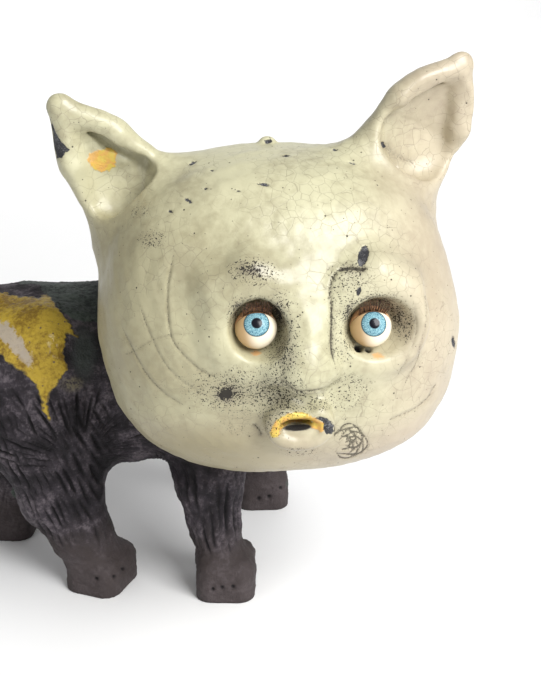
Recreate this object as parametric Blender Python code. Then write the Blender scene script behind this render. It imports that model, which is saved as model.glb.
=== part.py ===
"""A raku-fired ceramic cat that stands on four stubby legs, with a big doll-faced head.

The ceramic is one closed solid. Its clay is described the way it was built, as rolled limbs and
pressed balls of clay that are smoothed into each other and then hollowed with a tool: each of them is a
distance function, and the skin where the joined distance is zero becomes the mesh. The doll's eyes and
their combs of lashes are glued into the sockets and are solids of their own.

X runs along the body towards the chest, -Y is the side that the face looks to, +Z is up.
"""

import math

import bmesh
import bpy
import numpy as np

# Driving sizes, in metres.
CAT_HEIGHT = 0.294
EYE_DIAMETER = 0.018
EYE_GLUE_GAP = 0.0004
LASH_LENGTH = 0.0062
LASH_THICKNESS = 0.0011
LASH_WIDTH = 0.0125
LASH_CLEARANCE = 0.0004

# The lashes stand on the lid's edge, a half circle over the ball that is raised this far from level.
LID_ELEVATION = math.radians(66)
LASH_LEAN = math.radians(52)
LASH_TEETH = 9
LASH_NOTCH = 0.78
LASH_FAN = 0.35

# The clay is laid out in hands: 294 to the height of the cat, so that one hand is about a millimetre.
HANDS_HIGH = 294.0
HAND = CAT_HEIGHT / HANDS_HIGH

# How finely the clay is meshed, the share of its triangles that is kept, and the space left around it.
MESH_STEP = 2.3
VOXEL_STEP = 2.0
KEPT_SHARE = 0.053
EYE_SEGMENTS = 22
EYE_RINGS = 12
BELOW_FLOOR = 6.0
CLAY_MARGIN = 8.0
ROLL_FILLET = 4.0

# The skull: a crown and a jaw, each a ball pressed towards a box around its own place from the middle.
HEAD_CENTRE = np.array([66.0, -76.0, 177.0])
CROWN = {"offset": (-4.0, 0.0, 14.0), "radii": (78.0, 60.0, 61.8)}
JAW = {"offset": (-1.0, -2.0, -20.0), "radii": (79.5, 59.0, 54.0)}
CROWN_SQUARENESS = 2.35
JAW_SQUARENESS = 2.45
SKULL_FILLET = 26.0
CROWN_NUB = {"centre": (60.0, -66.0, 251.0), "radii": (4.5, 3.5, 4.5)}

# The barrel of the body along its axis, and the balls of clay added for haunches and shoulders.
BARREL_ENDS = (-72.0, -10.0, 48.0)
BARREL_AXIS_Y = 13.5
BARREL_AXIS_Z = 113.0
BARREL_HALF_WIDTH = 44.0
BARREL_HALF_HEIGHT = 50.0
MUSCLES = (
    {"centre": (-50.0, -12.0, 116.0), "radii": (32.0, 24.0, 44.0)},
    {"centre": (-62.0, 38.0, 112.0), "radii": (32.0, 24.0, 44.0)},
    {"centre": (36.0, -14.0, 110.0), "radii": (26.0, 22.0, 38.0)},
    {"centre": (62.0, 40.0, 108.0), "radii": (28.0, 24.0, 38.0)},
)
MUSCLE_FILLET = 12.0

# Rolled pieces run through their joints as (x, y, z, radius).
NECK = ((30.0, 8.0, 132.0, 38.0), (56.0, -36.0, 160.0, 42.0), (64.0, -60.0, 172.0, 40.0))
NECK_FILLET = 16.0
TAIL = ((-108.0, 14.0, 134.0, 13.0), (-124.0, 16.0, 122.0, 10.0), (-131.0, 18.0, 98.0, 8.5), (-128.0, 19.0, 80.0, 7.5))
TAIL_FILLET = 10.0
BODY_FILLET = 14.0
HEAD_FILLET = 14.0

# Each leg ends in a block paw turned by some degrees.
LEGS = {
    "right_hind": {
        "joints": [(-52, -8, 98, 33), (-47, -13, 56, 22), (-37, -16, 30, 15.5), (-30, -16, 18, 13.5)],
        "paw": (-27, -16.5, 4.5),
        "turn": -28,
    },
    "right_front": {
        "joints": [(32, -14, 98, 27), (33, -26, 64, 17.5), (35, -30, 42, 13.2), (38, -30, 24, 13)],
        "paw": (41, -31, 7),
        "turn": -8,
    },
    "left_front": {
        "joints": [(58, 36, 98, 27), (66, 54, 60, 17), (70, 64, 36, 13.5), (71, 68, 22, 13)],
        "paw": (72, 71, 6),
        "turn": -4,
    },
    "left_hind": {
        "joints": [(-62, 34, 98, 31), (-72, 42, 58, 20), (-79, 47, 34, 15), (-82, 49, 22, 14)],
        "paw": (-83, 51, 5),
        "turn": -10,
    },
}
LEG_FILLET = 8.0
ANKLE_FILLET = 6.0
PAW_HALF_SIZES = (16.0, 17.5, 17.0)
PAW_EDGE = 7.0

# Each ear has the middle of its base, its tip, half its width at the base, the share of that at half its
# length, and the turn of its hollow. The sign of inner tells on which side of its middle the head lies.
EARS = {
    "right": {
        "base": (0.0, -72.0, 229.0),
        "tip": (-34.5, -78.0, 276.0),
        "half_width": 28.2,
        "waist": 0.57,
        "turn": -6.0,
        "inner": 1.0,
    },
    "left": {
        "base": (117.0, -72.0, 240.0),
        "tip": (147.5, -78.0, 292.0),
        "half_width": 30.0,
        "waist": 0.69,
        "turn": 24.0,
        "inner": -1.0,
    },
}
EAR_FLATNESS = 1.9
EAR_TIP_RADIUS = 5.0
EAR_RIM = 4.2
EAR_RIM_FOOT = 4.8
EAR_RIM_FORWARD = 1.0
EAR_PRESS = 7.5
EAR_HOLLOW_START = 0.22
EAR_HOLLOW_TIP = 1.0
EAR_FOOT = 6.0
EAR_FILLET = 12.0
EAR_CREASE = 3.2
EAR_CREASE_TIP = 1.9
EAR_CREASE_PRESS = 2.2
EAR_CREASE_FOOT = 2.2
EAR_CREASE_FOOT_PRESS = 6.0

# The sockets of the eyes: each one's middle measured from its eye, and its half sizes.
EYE_PLACES = {
    "right": np.array([47.3, -134.0, 187.6]),
    "left": np.array([96.2, -134.0, 186.3]),
}
SOCKETS = {
    "right": {"offset": (-0.8, -8.0, 1.6), "radii": (13.4, 13.5, 14.8), "outward": -1},
    "left": {"offset": (3.2, -8.0, 1.8), "radii": (16.0, 13.5, 15.2), "outward": 1},
}
SOCKET_RIM = {"wider": 3.0, "higher": 2.0, "forward": 1.5, "thickness": 4.0}
SOCKET_RIM_FILLET = 10.0
SOCKET_EDGE = 3.0

# The brows are rolled from the inner to the outer corner of each eye, and measured from the eye.
BROW = ((-12.0, 0.5, 20.0, 4.0), (2.0, 0.5, 25.0, 4.5), (16.0, 4.0, 19.0, 4.0))
BROW_FILLET = 14.0
NOSE = ((72.0, -126.0, 214.0, 7.0), (70.0, -131.0, 200.0, 9.0), (68.5, -136.5, 187.0, 11.0), (67.0, -141.5, 177.0, 12.0))
NOSE_FLANK = ((62.0, -126.0, 204.0, 8.0), (57.5, -134.0, 180.0, 8.5))
NOSE_WINGS = ((57.5, -142.0, 170.5, 7.0), (67.0, -146.0, 170.0, 8.0), (75.0, -142.5, 171.0, 6.5))
NOSE_FILLET = 6.0
FLANK_FILLET = 11.0
LIPS = {"centre": (65.0, -143.5, 146.0), "half_width": 11.0, "half_height": 7.6, "thickness": 3.8}
MOUTH = {"centre": (65.0, -147.0, 145.5), "radii": (9.4, 15.0, 5.0)}
LIP_FILLET = 7.0
MOUTH_EDGE = 1.8


def smooth_join(first, second, reach):
    """Both shapes, with a fillet about as wide as reach where they meet."""
    share = np.clip(0.5 + 0.5 * (second - first) / reach, 0.0, 1.0)
    return second + (first - second) * share - reach * share * (1.0 - share)


def smooth_cut(shape, cutter, reach):
    """The shape without the cutter, with its rim rounded by about reach."""
    return -smooth_join(-shape, cutter, reach)


def turned(points, centre, degrees):
    """The points measured from a centre, in axes turned about +Z by some degrees."""
    angle = math.radians(degrees)
    moved = points - np.asarray(centre, float)
    x = math.cos(angle) * moved[:, 0] + math.sin(angle) * moved[:, 1]
    y = math.cos(angle) * moved[:, 1] - math.sin(angle) * moved[:, 0]
    return np.stack([x, y, moved[:, 2]], axis=1)


def ball(points, centre, radii):
    """An ellipsoid: its stretched radius less one, over that radius's own slope."""
    radii = np.asarray(radii, float)
    scaled = (points - np.asarray(centre, float)) / radii
    size = np.sqrt((scaled**2).sum(axis=1)) + 1e-9
    slope = np.sqrt(((scaled / radii) ** 2).sum(axis=1)) + 1e-9
    return size * (size - 1.0) / slope


def pressed_ball(points, centre, radii, squareness):
    """A ball pressed towards a box: the same with a power above two in its radius."""
    moved = points - np.asarray(centre, float)
    scaled = np.abs(moved) / np.asarray(radii, float)
    size = (scaled**squareness).sum(axis=1) ** (1.0 / squareness) + 1e-9
    return np.sqrt((moved**2).sum(axis=1)) * (1.0 - 1.0 / size)


def rolled(points, joints, reach=ROLL_FILLET):
    """A rolled piece of clay through joints of (x, y, z, radius): tapered round lengths, joined softly."""
    joints = np.asarray(joints, float)
    whole = None
    for start, end in zip(joints[:-1], joints[1:]):
        along = end[:3] - start[:3]
        share = np.clip((points - start[:3]) @ along / (along @ along), 0.0, 1.0)
        nearest = start[:3] + share[:, None] * along
        length = np.sqrt(((points - nearest) ** 2).sum(axis=1)) - (start[3] + share * (end[3] - start[3]))
        whole = length if whole is None else smooth_join(whole, length, reach)
    return whole


def block(points, centre, half_sizes, edge, degrees):
    """A block with rounded edges, turned about its upright axis."""
    outside = np.abs(turned(points, centre, degrees)) - (np.asarray(half_sizes, float) - edge)
    far = np.sqrt((np.maximum(outside, 0.0) ** 2).sum(axis=1))
    return far + np.minimum(outside.max(axis=1), 0.0) - edge


def hoop(points, centre, half_width, half_height, thickness):
    """An oval ring that faces -Y: the distance to an ellipse, taken round as a tube."""
    moved = points - np.asarray(centre, float)
    size = np.sqrt((moved[:, 0] / half_width) ** 2 + (moved[:, 2] / half_height) ** 2) + 1e-9
    slope = np.sqrt((moved[:, 0] / half_width**2) ** 2 + (moved[:, 2] / half_height**2) ** 2) + 1e-9
    across = size * (size - 1.0) / slope
    return np.sqrt(across**2 + moved[:, 1] ** 2) - thickness


def ear_axes(ear):
    """The ear's own axes: across it, out of its hollow, and along it to the tip."""
    base = np.asarray(ear["base"], float)
    along = np.asarray(ear["tip"], float) - base
    length = np.sqrt(along @ along)
    along = along / length
    angle = math.radians(ear["turn"])
    out = np.array([math.sin(angle), -math.cos(angle), 0.0])
    out = out - along * (out @ along)
    out = out / np.sqrt(out @ out)
    return base, np.cross(along, out), out, along, length


def ear_clay(points, ear):
    """The forms of an ear: a flattened cone, the hollow pressed into its front, its rim and its crease.

    The hollow is the cone again, thinner by the wall all round and moved forwards, so that it runs out
    before the solid tip. The rim is a roll of clay just inside the cone's outline. The crease is pressed
    along the rim on the head's side of the hollow, round its lower corner and back along its foot.
    """
    base, across, out, along, length = ear_axes(ear)
    moved = points - base
    own = np.stack([moved @ across, moved @ out, moved @ along], axis=1)
    flat = np.array([1.0, EAR_FLATNESS, 1.0])
    wide, waist = ear["half_width"], ear["half_width"] * ear["waist"]
    middle, tip = 0.5 * length, length - EAR_TIP_RADIUS
    skin = rolled(
        own * flat, [(0, 0, -EAR_FOOT, wide), (0, 0, middle, waist), (0, 0, tip, EAR_TIP_RADIUS)], EAR_FILLET
    )
    pressed = (own - np.array([0.0, EAR_PRESS, 0.0])) * flat
    start = EAR_HOLLOW_START * length
    low, half = 0.5 * (wide + waist) - EAR_RIM, waist - EAR_RIM
    hollow = rolled(pressed, [(0, 0, start, low), (0, 0, middle, half), (0, 0, tip - EAR_RIM, EAR_HOLLOW_TIP)], EAR_FILLET)
    rim = rolled(
        own,
        [
            (-low, 0, start, EAR_RIM_FOOT),
            (-half, EAR_RIM_FORWARD, middle, EAR_RIM),
            (0, 0, tip, EAR_RIM),
            (half, EAR_RIM_FORWARD, middle, EAR_RIM),
            (low, 0, start, EAR_RIM_FOOT),
        ],
    )
    inner = ear["inner"]
    crease = rolled(
        own,
        [
            (inner * 0.3 * half, EAR_CREASE_PRESS, 0.72 * length, EAR_CREASE_TIP),
            (inner * 0.62 * half, EAR_CREASE_PRESS, middle, EAR_CREASE),
            (inner * 0.72 * low, EAR_CREASE_PRESS, 0.85 * start, EAR_CREASE),
            (inner * 0.1 * low, EAR_CREASE_FOOT_PRESS, 0.1 * start, EAR_CREASE_FOOT),
        ],
    )
    return skin / EAR_FLATNESS, hollow / EAR_FLATNESS, rim, crease


def torso(points):
    """The barrel of the body with its haunches, shoulders, the neck that carries the head, and the tail."""
    squeeze = np.array([1.0, BARREL_HALF_HEIGHT / BARREL_HALF_WIDTH, 1.0])
    middle = BARREL_AXIS_Y * squeeze[1]
    axis = [(x, middle, BARREL_AXIS_Z, BARREL_HALF_HEIGHT) for x in BARREL_ENDS]
    barrel = rolled(points * squeeze, axis) / squeeze[1]
    for muscle in MUSCLES:
        barrel = smooth_join(barrel, ball(points, muscle["centre"], muscle["radii"]), MUSCLE_FILLET)
    body = smooth_join(barrel, rolled(points, NECK), NECK_FILLET)
    return smooth_join(body, rolled(points, TAIL), TAIL_FILLET)


def legs(points):
    """Four legs that taper to an ankle and end in block paws."""
    whole = None
    for leg in LEGS.values():
        shaft = rolled(points, leg["joints"], LEG_FILLET)
        paw = block(points, leg["paw"], PAW_HALF_SIZES, PAW_EDGE, leg["turn"])
        leg_clay = smooth_join(shaft, paw, ANKLE_FILLET)
        whole = leg_clay if whole is None else np.minimum(whole, leg_clay)
    return whole


def skull(points):
    """The head's main mass: a broad forehead and a broad jaw, and the nub left on top of it."""
    crown = pressed_ball(points, HEAD_CENTRE + CROWN["offset"], CROWN["radii"], CROWN_SQUARENESS)
    jaw = pressed_ball(points, HEAD_CENTRE + JAW["offset"], JAW["radii"], JAW_SQUARENESS)
    head = smooth_join(crown, jaw, SKULL_FILLET)
    return smooth_join(head, ball(points, CROWN_NUB["centre"], CROWN_NUB["radii"]), MOUTH_EDGE)


def face(points, head):
    """The doll's face pressed onto the skull: brows, nose, lips and the sockets of the eyes."""
    for side, socket in SOCKETS.items():
        place, outward = EYE_PLACES[side], socket["outward"]
        rim_middle = place + np.array([socket["offset"][0], -SOCKET_RIM["forward"], socket["offset"][2]])
        half_width = socket["radii"][0] + SOCKET_RIM["wider"]
        half_height = socket["radii"][2] + SOCKET_RIM["higher"]
        rim = hoop(points, rim_middle, half_width, half_height, SOCKET_RIM["thickness"])
        head = smooth_join(head, rim, SOCKET_RIM_FILLET)
        brow = [(place[0] + outward * x, place[1] + y, place[2] + z, radius) for x, y, z, radius in BROW]
        head = smooth_join(head, rolled(points, brow), BROW_FILLET)
    head = smooth_join(head, rolled(points, NOSE_FLANK), FLANK_FILLET)
    nose = smooth_join(rolled(points, NOSE), rolled(points, NOSE_WINGS), NOSE_FILLET)
    head = smooth_join(head, nose, NOSE_FILLET)
    lips = hoop(points, LIPS["centre"], LIPS["half_width"], LIPS["half_height"], LIPS["thickness"])
    head = smooth_join(head, lips, LIP_FILLET)
    head = smooth_cut(head, ball(points, MOUTH["centre"], MOUTH["radii"]), MOUTH_EDGE)
    for side, socket in SOCKETS.items():
        bowl = ball(points, EYE_PLACES[side] + np.array(socket["offset"]), socket["radii"])
        head = smooth_cut(head, bowl, SOCKET_EDGE)
    return head


def ceramic(points):
    """The whole ceramic cat as one distance function, in hands, ending a little below the floor."""
    head = skull(points)
    for ear in EARS.values():
        skin, hollow, rim, crease = ear_clay(points, ear)
        head = smooth_cut(smooth_join(head, skin, EAR_FILLET), hollow, SOCKET_EDGE)
        head = smooth_join(head, rim, EAR_RIM)
        head = smooth_cut(head, crease, SOCKET_EDGE)
    head = face(points, head)
    body = smooth_join(torso(points), legs(points), BODY_FILLET)
    return np.maximum(smooth_join(body, head, HEAD_FILLET), -BELOW_FLOOR - points[:, 2])


def clay_box():
    """Two corners of a box that holds all the clay: each form counts as a ball of its greatest radius."""
    squeezed = BARREL_HALF_HEIGHT
    balls = [(x, BARREL_AXIS_Y, BARREL_AXIS_Z, squeezed) for x in BARREL_ENDS]
    balls += [(*muscle["centre"], max(muscle["radii"])) for muscle in MUSCLES]
    balls += [*NECK, *TAIL, *NOSE, *NOSE_FLANK, *NOSE_WINGS]
    for leg in LEGS.values():
        balls += [*leg["joints"], (*leg["paw"], math.hypot(*PAW_HALF_SIZES[:2]))]
    for ear in EARS.values():
        balls += [(*ear["base"], ear["half_width"]), (*ear["tip"], EAR_RIM)]
    for mass in (CROWN, JAW):
        balls.append((*(HEAD_CENTRE + mass["offset"]), max(mass["radii"])))
    balls = np.array(balls, float)
    low = (balls[:, :3] - balls[:, 3:]).min(axis=0) - CLAY_MARGIN
    low[2] = -BELOW_FLOOR - CLAY_MARGIN / 2.0
    return low, (balls[:, :3] + balls[:, 3:]).max(axis=0) + CLAY_MARGIN


def slope_of(shape, points, step=0.05):
    """The direction in which the distance grows, from small steps along each axis."""
    slopes = []
    for axis in range(3):
        shift = np.zeros(3)
        shift[axis] = step
        slopes.append((shape(points + shift) - shape(points - shift)) / (2.0 * step))
    return np.stack(slopes, axis=1)


def skin_of(shape, low, high, step):
    """The zero skin of a distance function as points and quads.

    Space is divided into cubes. Each cube that the skin passes through gets one point, the middle of
    the places where the skin crosses its edges, and the four cubes around each crossed edge give a quad.
    """
    counts = np.ceil((np.asarray(high) - np.asarray(low)) / step).astype(int) + 1
    axes = [low[k] + step * np.arange(counts[k]) for k in range(3)]
    values = np.empty(counts)
    plane = np.stack(np.meshgrid(axes[1], axes[2], indexing="ij"), axis=-1).reshape(-1, 2)
    for i, x in enumerate(axes[0]):
        slab = np.column_stack([np.full(len(plane), x), plane])
        values[i] = shape(slab).reshape(counts[1], counts[2])
    inside = values < 0.0
    cells = np.array(counts) - 1
    total = np.zeros((*cells, 3))
    crossings = np.zeros(cells)
    corners = [(a, b, c) for a in (0, 1) for b in (0, 1) for c in (0, 1)]
    spans = {corner: tuple(slice(corner[k], corner[k] + cells[k]) for k in range(3)) for corner in corners}
    for axis in range(3):
        for corner in corners:
            if corner[axis]:
                continue
            other = tuple(corner[k] + (k == axis) for k in range(3))
            near, far = values[spans[corner]], values[spans[other]]
            crossed = (near < 0.0) != (far < 0.0)
            share = np.where(crossed, near / np.where(crossed, near - far, 1.0), 0.0)
            for k in range(3):
                total[..., k] += crossed * (corner[k] + (share if k == axis else 0.0))
            crossings += crossed
    active = crossings > 0
    index = np.full(tuple(cells), -1)
    index[active] = np.arange(active.sum())
    cell_places = np.argwhere(active)
    points = np.asarray(low) + step * (cell_places + total[active] / crossings[active][:, None])
    quads = []
    for axis in range(3):
        u, v = (axis + 1) % 3, (axis + 2) % 3
        first = [slice(1, -1)] * 3
        first[axis] = slice(0, cells[axis])
        second = list(first)
        second[axis] = slice(1, cells[axis] + 1)
        start, end = inside[tuple(first)], inside[tuple(second)]
        for leaving in (True, False):
            edges = np.argwhere((start & ~end) if leaving else (~start & end))
            edges[:, u] += 1
            edges[:, v] += 1
            around = []
            for du, dv in ((1, 1), (0, 1), (0, 0), (1, 0)):
                cell = edges.copy()
                cell[:, u] -= du
                cell[:, v] -= dv
                around.append(index[cell[:, 0], cell[:, 1], cell[:, 2]])
            quad = np.stack(around, axis=1)
            quads.append(quad if leaving else quad[:, ::-1])
    for _ in range(2):
        slope = slope_of(shape, points)
        move = np.clip(shape(points), -step / 3.0, step / 3.0) / ((slope**2).sum(axis=1) + 1e-6)
        points = points - move[:, None] * slope
    return points, np.concatenate(quads)


def finish_of(name, colour, roughness, metallic=0.0):
    """A plain material with the piece's own colour, roughness and metallic value."""
    material = bpy.data.materials.new(name)
    material.use_nodes = True
    shader = material.node_tree.nodes["Principled BSDF"]
    shader.inputs["Base Color"].default_value = (*colour, 1.0)
    shader.inputs["Roughness"].default_value = roughness
    shader.inputs["Metallic"].default_value = metallic
    return material


def new_object(name, mesh, material):
    """The mesh as an object of the scene, shaded smooth where it is round."""
    if material is not None:
        mesh.materials.append(material)
    mesh.shade_smooth()
    mesh.set_sharp_from_angle(angle=math.radians(50))
    item = bpy.data.objects.new(name, mesh)
    bpy.context.collection.objects.link(item)
    return item


def mesh_from(name, points, faces):
    """A mesh of points given in hands and faces given as rows of point numbers."""
    mesh = bpy.data.meshes.new(name)
    mesh.from_pydata((np.asarray(points) * HAND).tolist(), [], np.asarray(faces).tolist())
    mesh.update()
    return mesh


def slice_soles(mesh):
    """Cuts the paws off at the floor and closes each with one flat sole."""
    form = bmesh.new()
    form.from_mesh(mesh)
    geometry = form.verts[:] + form.edges[:] + form.faces[:]
    bmesh.ops.bisect_plane(
        form, geom=geometry, dist=1e-7, plane_co=(0, 0, 0), plane_no=(0, 0, -1), clear_outer=True
    )
    rims = [edge for edge in form.edges if edge.is_boundary]
    bmesh.ops.edgeloop_fill(form, edges=rims)
    bmesh.ops.triangulate(form, faces=form.faces[:])
    bmesh.ops.recalc_face_normals(form, faces=form.faces[:])
    form.to_mesh(mesh)
    form.free()


def make_ceramic():
    """The cat: meshed finely, thinned to the triangles that its form needs, and cut flat below."""
    points, quads = skin_of(ceramic, *clay_box(), MESH_STEP)
    rough = bpy.data.objects.new("clay", mesh_from("clay", points, quads))
    bpy.context.collection.objects.link(rough)
    even = rough.modifiers.new("even", "REMESH")
    even.mode = "VOXEL"
    even.voxel_size = VOXEL_STEP * HAND
    thinned = rough.modifiers.new("thinned", "DECIMATE")
    thinned.ratio = KEPT_SHARE
    graph = bpy.context.evaluated_depsgraph_get()
    mesh = bpy.data.meshes.new_from_object(rough.evaluated_get(graph))
    mesh.name = "raku_cat"
    bpy.data.objects.remove(rough)
    slice_soles(mesh)
    cat = new_object("raku_cat", mesh, finish_of("glazed_clay", (0.62, 0.60, 0.47), 0.25))
    for side in EYE_PLACES:
        seat = new_object(
            side + "_eye_seat", sphere(side + "_eye_seat", EYE_DIAMETER / 2.0 + EYE_GLUE_GAP), None
        )
        seat.location = (EYE_PLACES[side] * HAND).tolist()
        seat.hide_render = True
        seat.display_type = "WIRE"
        cut = cat.modifiers.new(side + "_eye_seat", "BOOLEAN")
        cut.operation = "DIFFERENCE"
        cut.object = seat
        seat.parent = cat
    return cat


def sphere(name, radius):
    """A round mesh of the eyes' own division, so that an eye and its seat have parallel faces."""
    form = bmesh.new()
    bmesh.ops.create_uvsphere(form, u_segments=EYE_SEGMENTS, v_segments=EYE_RINGS, radius=radius)
    mesh = bpy.data.meshes.new(name)
    form.to_mesh(mesh)
    form.free()
    return mesh


def make_eye(side):
    """A doll's eyeball: a sphere of acrylic, seated in its socket with a gap for the glue."""
    finish = finish_of(side + "_eye_acrylic", (0.80, 0.74, 0.64), 0.12)
    eye = new_object(side + "_eye", sphere(side + "_eye", EYE_DIAMETER / 2.0), finish)
    eye.location = (EYE_PLACES[side] * HAND).tolist()
    return eye


def make_lashes(side):
    """A comb of lashes: a thin band along the lid's edge whose upper edge is cut into teeth.

    A point of the band is found from the angle across the lid, the height up the hair and the side of
    the band: it starts on the ball, a clearance away, and goes straight along the lean of the hairs.
    """
    foot = EYE_DIAMETER / 2.0 + LASH_CLEARANCE
    widest = math.asin(min(0.95, LASH_WIDTH / 2.0 / foot))
    columns = 2 * LASH_TEETH + 1
    angles = np.linspace(-widest, widest, columns)
    lid = np.array([0.0, -math.cos(LID_ELEVATION), math.sin(LID_ELEVATION)])
    lean = np.array([0.0, -math.cos(LASH_LEAN), math.sin(LASH_LEAN)])
    behind = np.array([0.0, math.sin(LASH_LEAN), math.cos(LASH_LEAN)])
    tooth = np.where(np.arange(columns) % 2 == 1, 1.0, LASH_NOTCH)
    spread = 1.0 + LASH_FAN * np.abs(angles / widest)
    rows = []
    for height, depth in ((0.0, 0.0), (1.0, 0.0), (1.0, 1.0), (0.0, 1.0)):
        start = foot * (np.sin(angles)[:, None] * [1.0, 0.0, 0.0] + np.cos(angles)[:, None] * lid)
        rise = LASH_LENGTH * height * tooth
        fan = (rise * LASH_FAN * np.sin(angles) * spread)[:, None] * [1.0, 0.0, 0.0]
        rows.append(start + rise[:, None] * lean + fan + LASH_THICKNESS * depth * behind)
    points = np.concatenate(rows)
    faces = []
    for k in range(4):
        this, after = k * columns, ((k + 1) % 4) * columns
        faces += [(this + j, this + j + 1, after + j + 1, after + j) for j in range(columns - 1)]
    faces.append([k * columns for k in range(4)])
    faces.append([k * columns + columns - 1 for k in range(4)][::-1])
    mesh = bpy.data.meshes.new(side + "_lashes")
    mesh.from_pydata(points.tolist(), [], faces)
    form = bmesh.new()
    form.from_mesh(mesh)
    bmesh.ops.triangulate(form, faces=form.faces[:])
    bmesh.ops.recalc_face_normals(form, faces=form.faces[:])
    form.to_mesh(mesh)
    form.free()
    lashes = new_object(side + "_lashes", mesh, finish_of(side + "_lash_fibre", (0.10, 0.045, 0.02), 0.55))
    lashes.location = (EYE_PLACES[side] * HAND).tolist()
    return lashes


def stand_at_origin(items):
    """Moves everything so that the origin lies on the floor under the middle of the whole cat's box."""
    bpy.context.view_layer.update()
    corners = np.concatenate(
        [[tuple(item.matrix_world @ vertex.co) for vertex in item.data.vertices] for item in items]
    )
    middle = (corners.min(axis=0) + corners.max(axis=0)) / 2.0
    for item in items:
        item.location.x -= middle[0]
        item.location.y -= middle[1]
        item.location.z -= corners[:, 2].min()


def main():
    for item in list(bpy.data.objects):
        bpy.data.objects.remove(item)
    items = [make_ceramic()]
    for side in EYE_PLACES:
        items.append(make_eye(side))
        items.append(make_lashes(side))
    stand_at_origin(items)


main()
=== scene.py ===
"""The looks of a raku-fired cat: a crackle-glazed doll-faced head on a small smoke-blackened body.

The head and the body are skins of distance functions, laid out in millimetres like the clay of the
part, but meshed more finely and then carved. The marks that the potter and the fire left are
given where they are seen from the front, and become depths and masks on the points of the skins.
"""

import math

import bmesh
import bpy
import numpy as np
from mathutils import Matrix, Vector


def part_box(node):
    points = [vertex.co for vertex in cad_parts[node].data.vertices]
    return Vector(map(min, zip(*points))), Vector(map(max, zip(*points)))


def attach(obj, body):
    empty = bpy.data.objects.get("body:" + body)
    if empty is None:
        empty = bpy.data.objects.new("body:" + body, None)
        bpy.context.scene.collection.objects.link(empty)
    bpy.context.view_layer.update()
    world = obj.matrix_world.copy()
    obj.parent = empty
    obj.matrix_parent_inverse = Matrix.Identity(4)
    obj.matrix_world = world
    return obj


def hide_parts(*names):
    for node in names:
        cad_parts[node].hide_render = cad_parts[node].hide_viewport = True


MM = 0.001

# The front view: an eye point, its turn and fall, and its scale. The camera stands there, and the
# marks are placed in its units, 541 across and 675 down.
VIEW_POINT = np.array([-2.0, -606.0, 356.0])
VIEW_TURN = math.radians(-6.7)
VIEW_FALL = math.radians(20.0)
VIEW_SCALE = 1200.0
VIEW_SIZE = (541.0, 675.0)

# How finely the skins are meshed, and the triangles that each keeps.
SKIN_STEP = 0.85
SKIN_TRIANGLES = 190000
BLOCK = 5
BLOCKS_AT_ONCE = 3000
HEAD_BOX = ((-50.0, -160.0, 100.0), (166.0, -8.0, 302.0))
BODY_BOX = ((-146.0, -150.0, -6.0), (150.0, 98.0, 236.0))

# The clay is laid out in millimetres, like the clay of the part. The body's clay runs on a little way
# under the head's glazed skin.
NECK_UNDER_GLAZE = 1.0
NECK_DEPTH = 12.0
FAR_FROM_HEAD = 60.0
ROLL_FILLET = 4.0

# The skull: a crown and a jaw, each a ball pressed towards a box around its own place from the middle.
HEAD_CENTRE = np.array([66.0, -76.0, 177.0])
CROWN = {"offset": (-4.0, 0.0, 14.0), "radii": (78.0, 60.0, 61.8)}
JAW = {"offset": (-1.0, -2.0, -20.0), "radii": (79.5, 59.0, 54.0)}
CROWN_SQUARENESS = 2.35
JAW_SQUARENESS = 2.45
SKULL_FILLET = 26.0
CROWN_NUB = {"centre": (60.0, -66.0, 251.0), "radii": (4.5, 3.5, 4.5)}

# The barrel of the body along its axis, and the balls of clay added for haunches and shoulders.
BARREL_ENDS = (-72.0, -10.0, 48.0)
BARREL_AXIS_Y = 13.5
BARREL_AXIS_Z = 113.0
BARREL_HALF_WIDTH = 44.0
BARREL_HALF_HEIGHT = 50.0
MUSCLES = (
    {"centre": (-50.0, -12.0, 116.0), "radii": (32.0, 24.0, 44.0)},
    {"centre": (-62.0, 38.0, 112.0), "radii": (32.0, 24.0, 44.0)},
    {"centre": (36.0, -14.0, 110.0), "radii": (26.0, 22.0, 38.0)},
    {"centre": (62.0, 40.0, 108.0), "radii": (28.0, 24.0, 38.0)},
)
MUSCLE_FILLET = 12.0

# Rolled pieces run through their joints as (x, y, z, radius).
NECK = ((30.0, 8.0, 132.0, 38.0), (56.0, -36.0, 160.0, 42.0), (64.0, -60.0, 172.0, 40.0))
NECK_FILLET = 16.0
TAIL = (
    (-108.0, 14.0, 134.0, 13.0),
    (-124.0, 16.0, 122.0, 10.0),
    (-131.0, 18.0, 98.0, 8.5),
    (-128.0, 19.0, 80.0, 7.5),
)
TAIL_FILLET = 10.0
BODY_FILLET = 14.0
HEAD_FILLET = 14.0

# Each leg ends in a block paw turned by some degrees.
LEGS = {
    "right_hind": {
        "joints": [(-52, -8, 98, 33), (-47, -13, 56, 22), (-37, -16, 30, 15.5), (-30, -16, 18, 13.5)],
        "paw": (-27, -16.5, 4.5),
        "turn": -28,
    },
    "right_front": {
        "joints": [(32, -14, 98, 27), (33, -26, 64, 17.5), (35, -30, 42, 13.2), (38, -30, 24, 13)],
        "paw": (41, -31, 7),
        "turn": -8,
    },
    "left_front": {
        "joints": [(58, 36, 98, 27), (66, 54, 60, 17), (70, 64, 36, 13.5), (71, 68, 22, 13)],
        "paw": (72, 71, 6),
        "turn": -4,
    },
    "left_hind": {
        "joints": [(-62, 34, 98, 31), (-72, 42, 58, 20), (-79, 47, 34, 15), (-82, 49, 22, 14)],
        "paw": (-83, 51, 5),
        "turn": -10,
    },
}
LEG_FILLET = 8.0
ANKLE_FILLET = 6.0
PAW_HALF_SIZES = (16.0, 17.5, 17.0)
PAW_EDGE = 9.0

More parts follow.
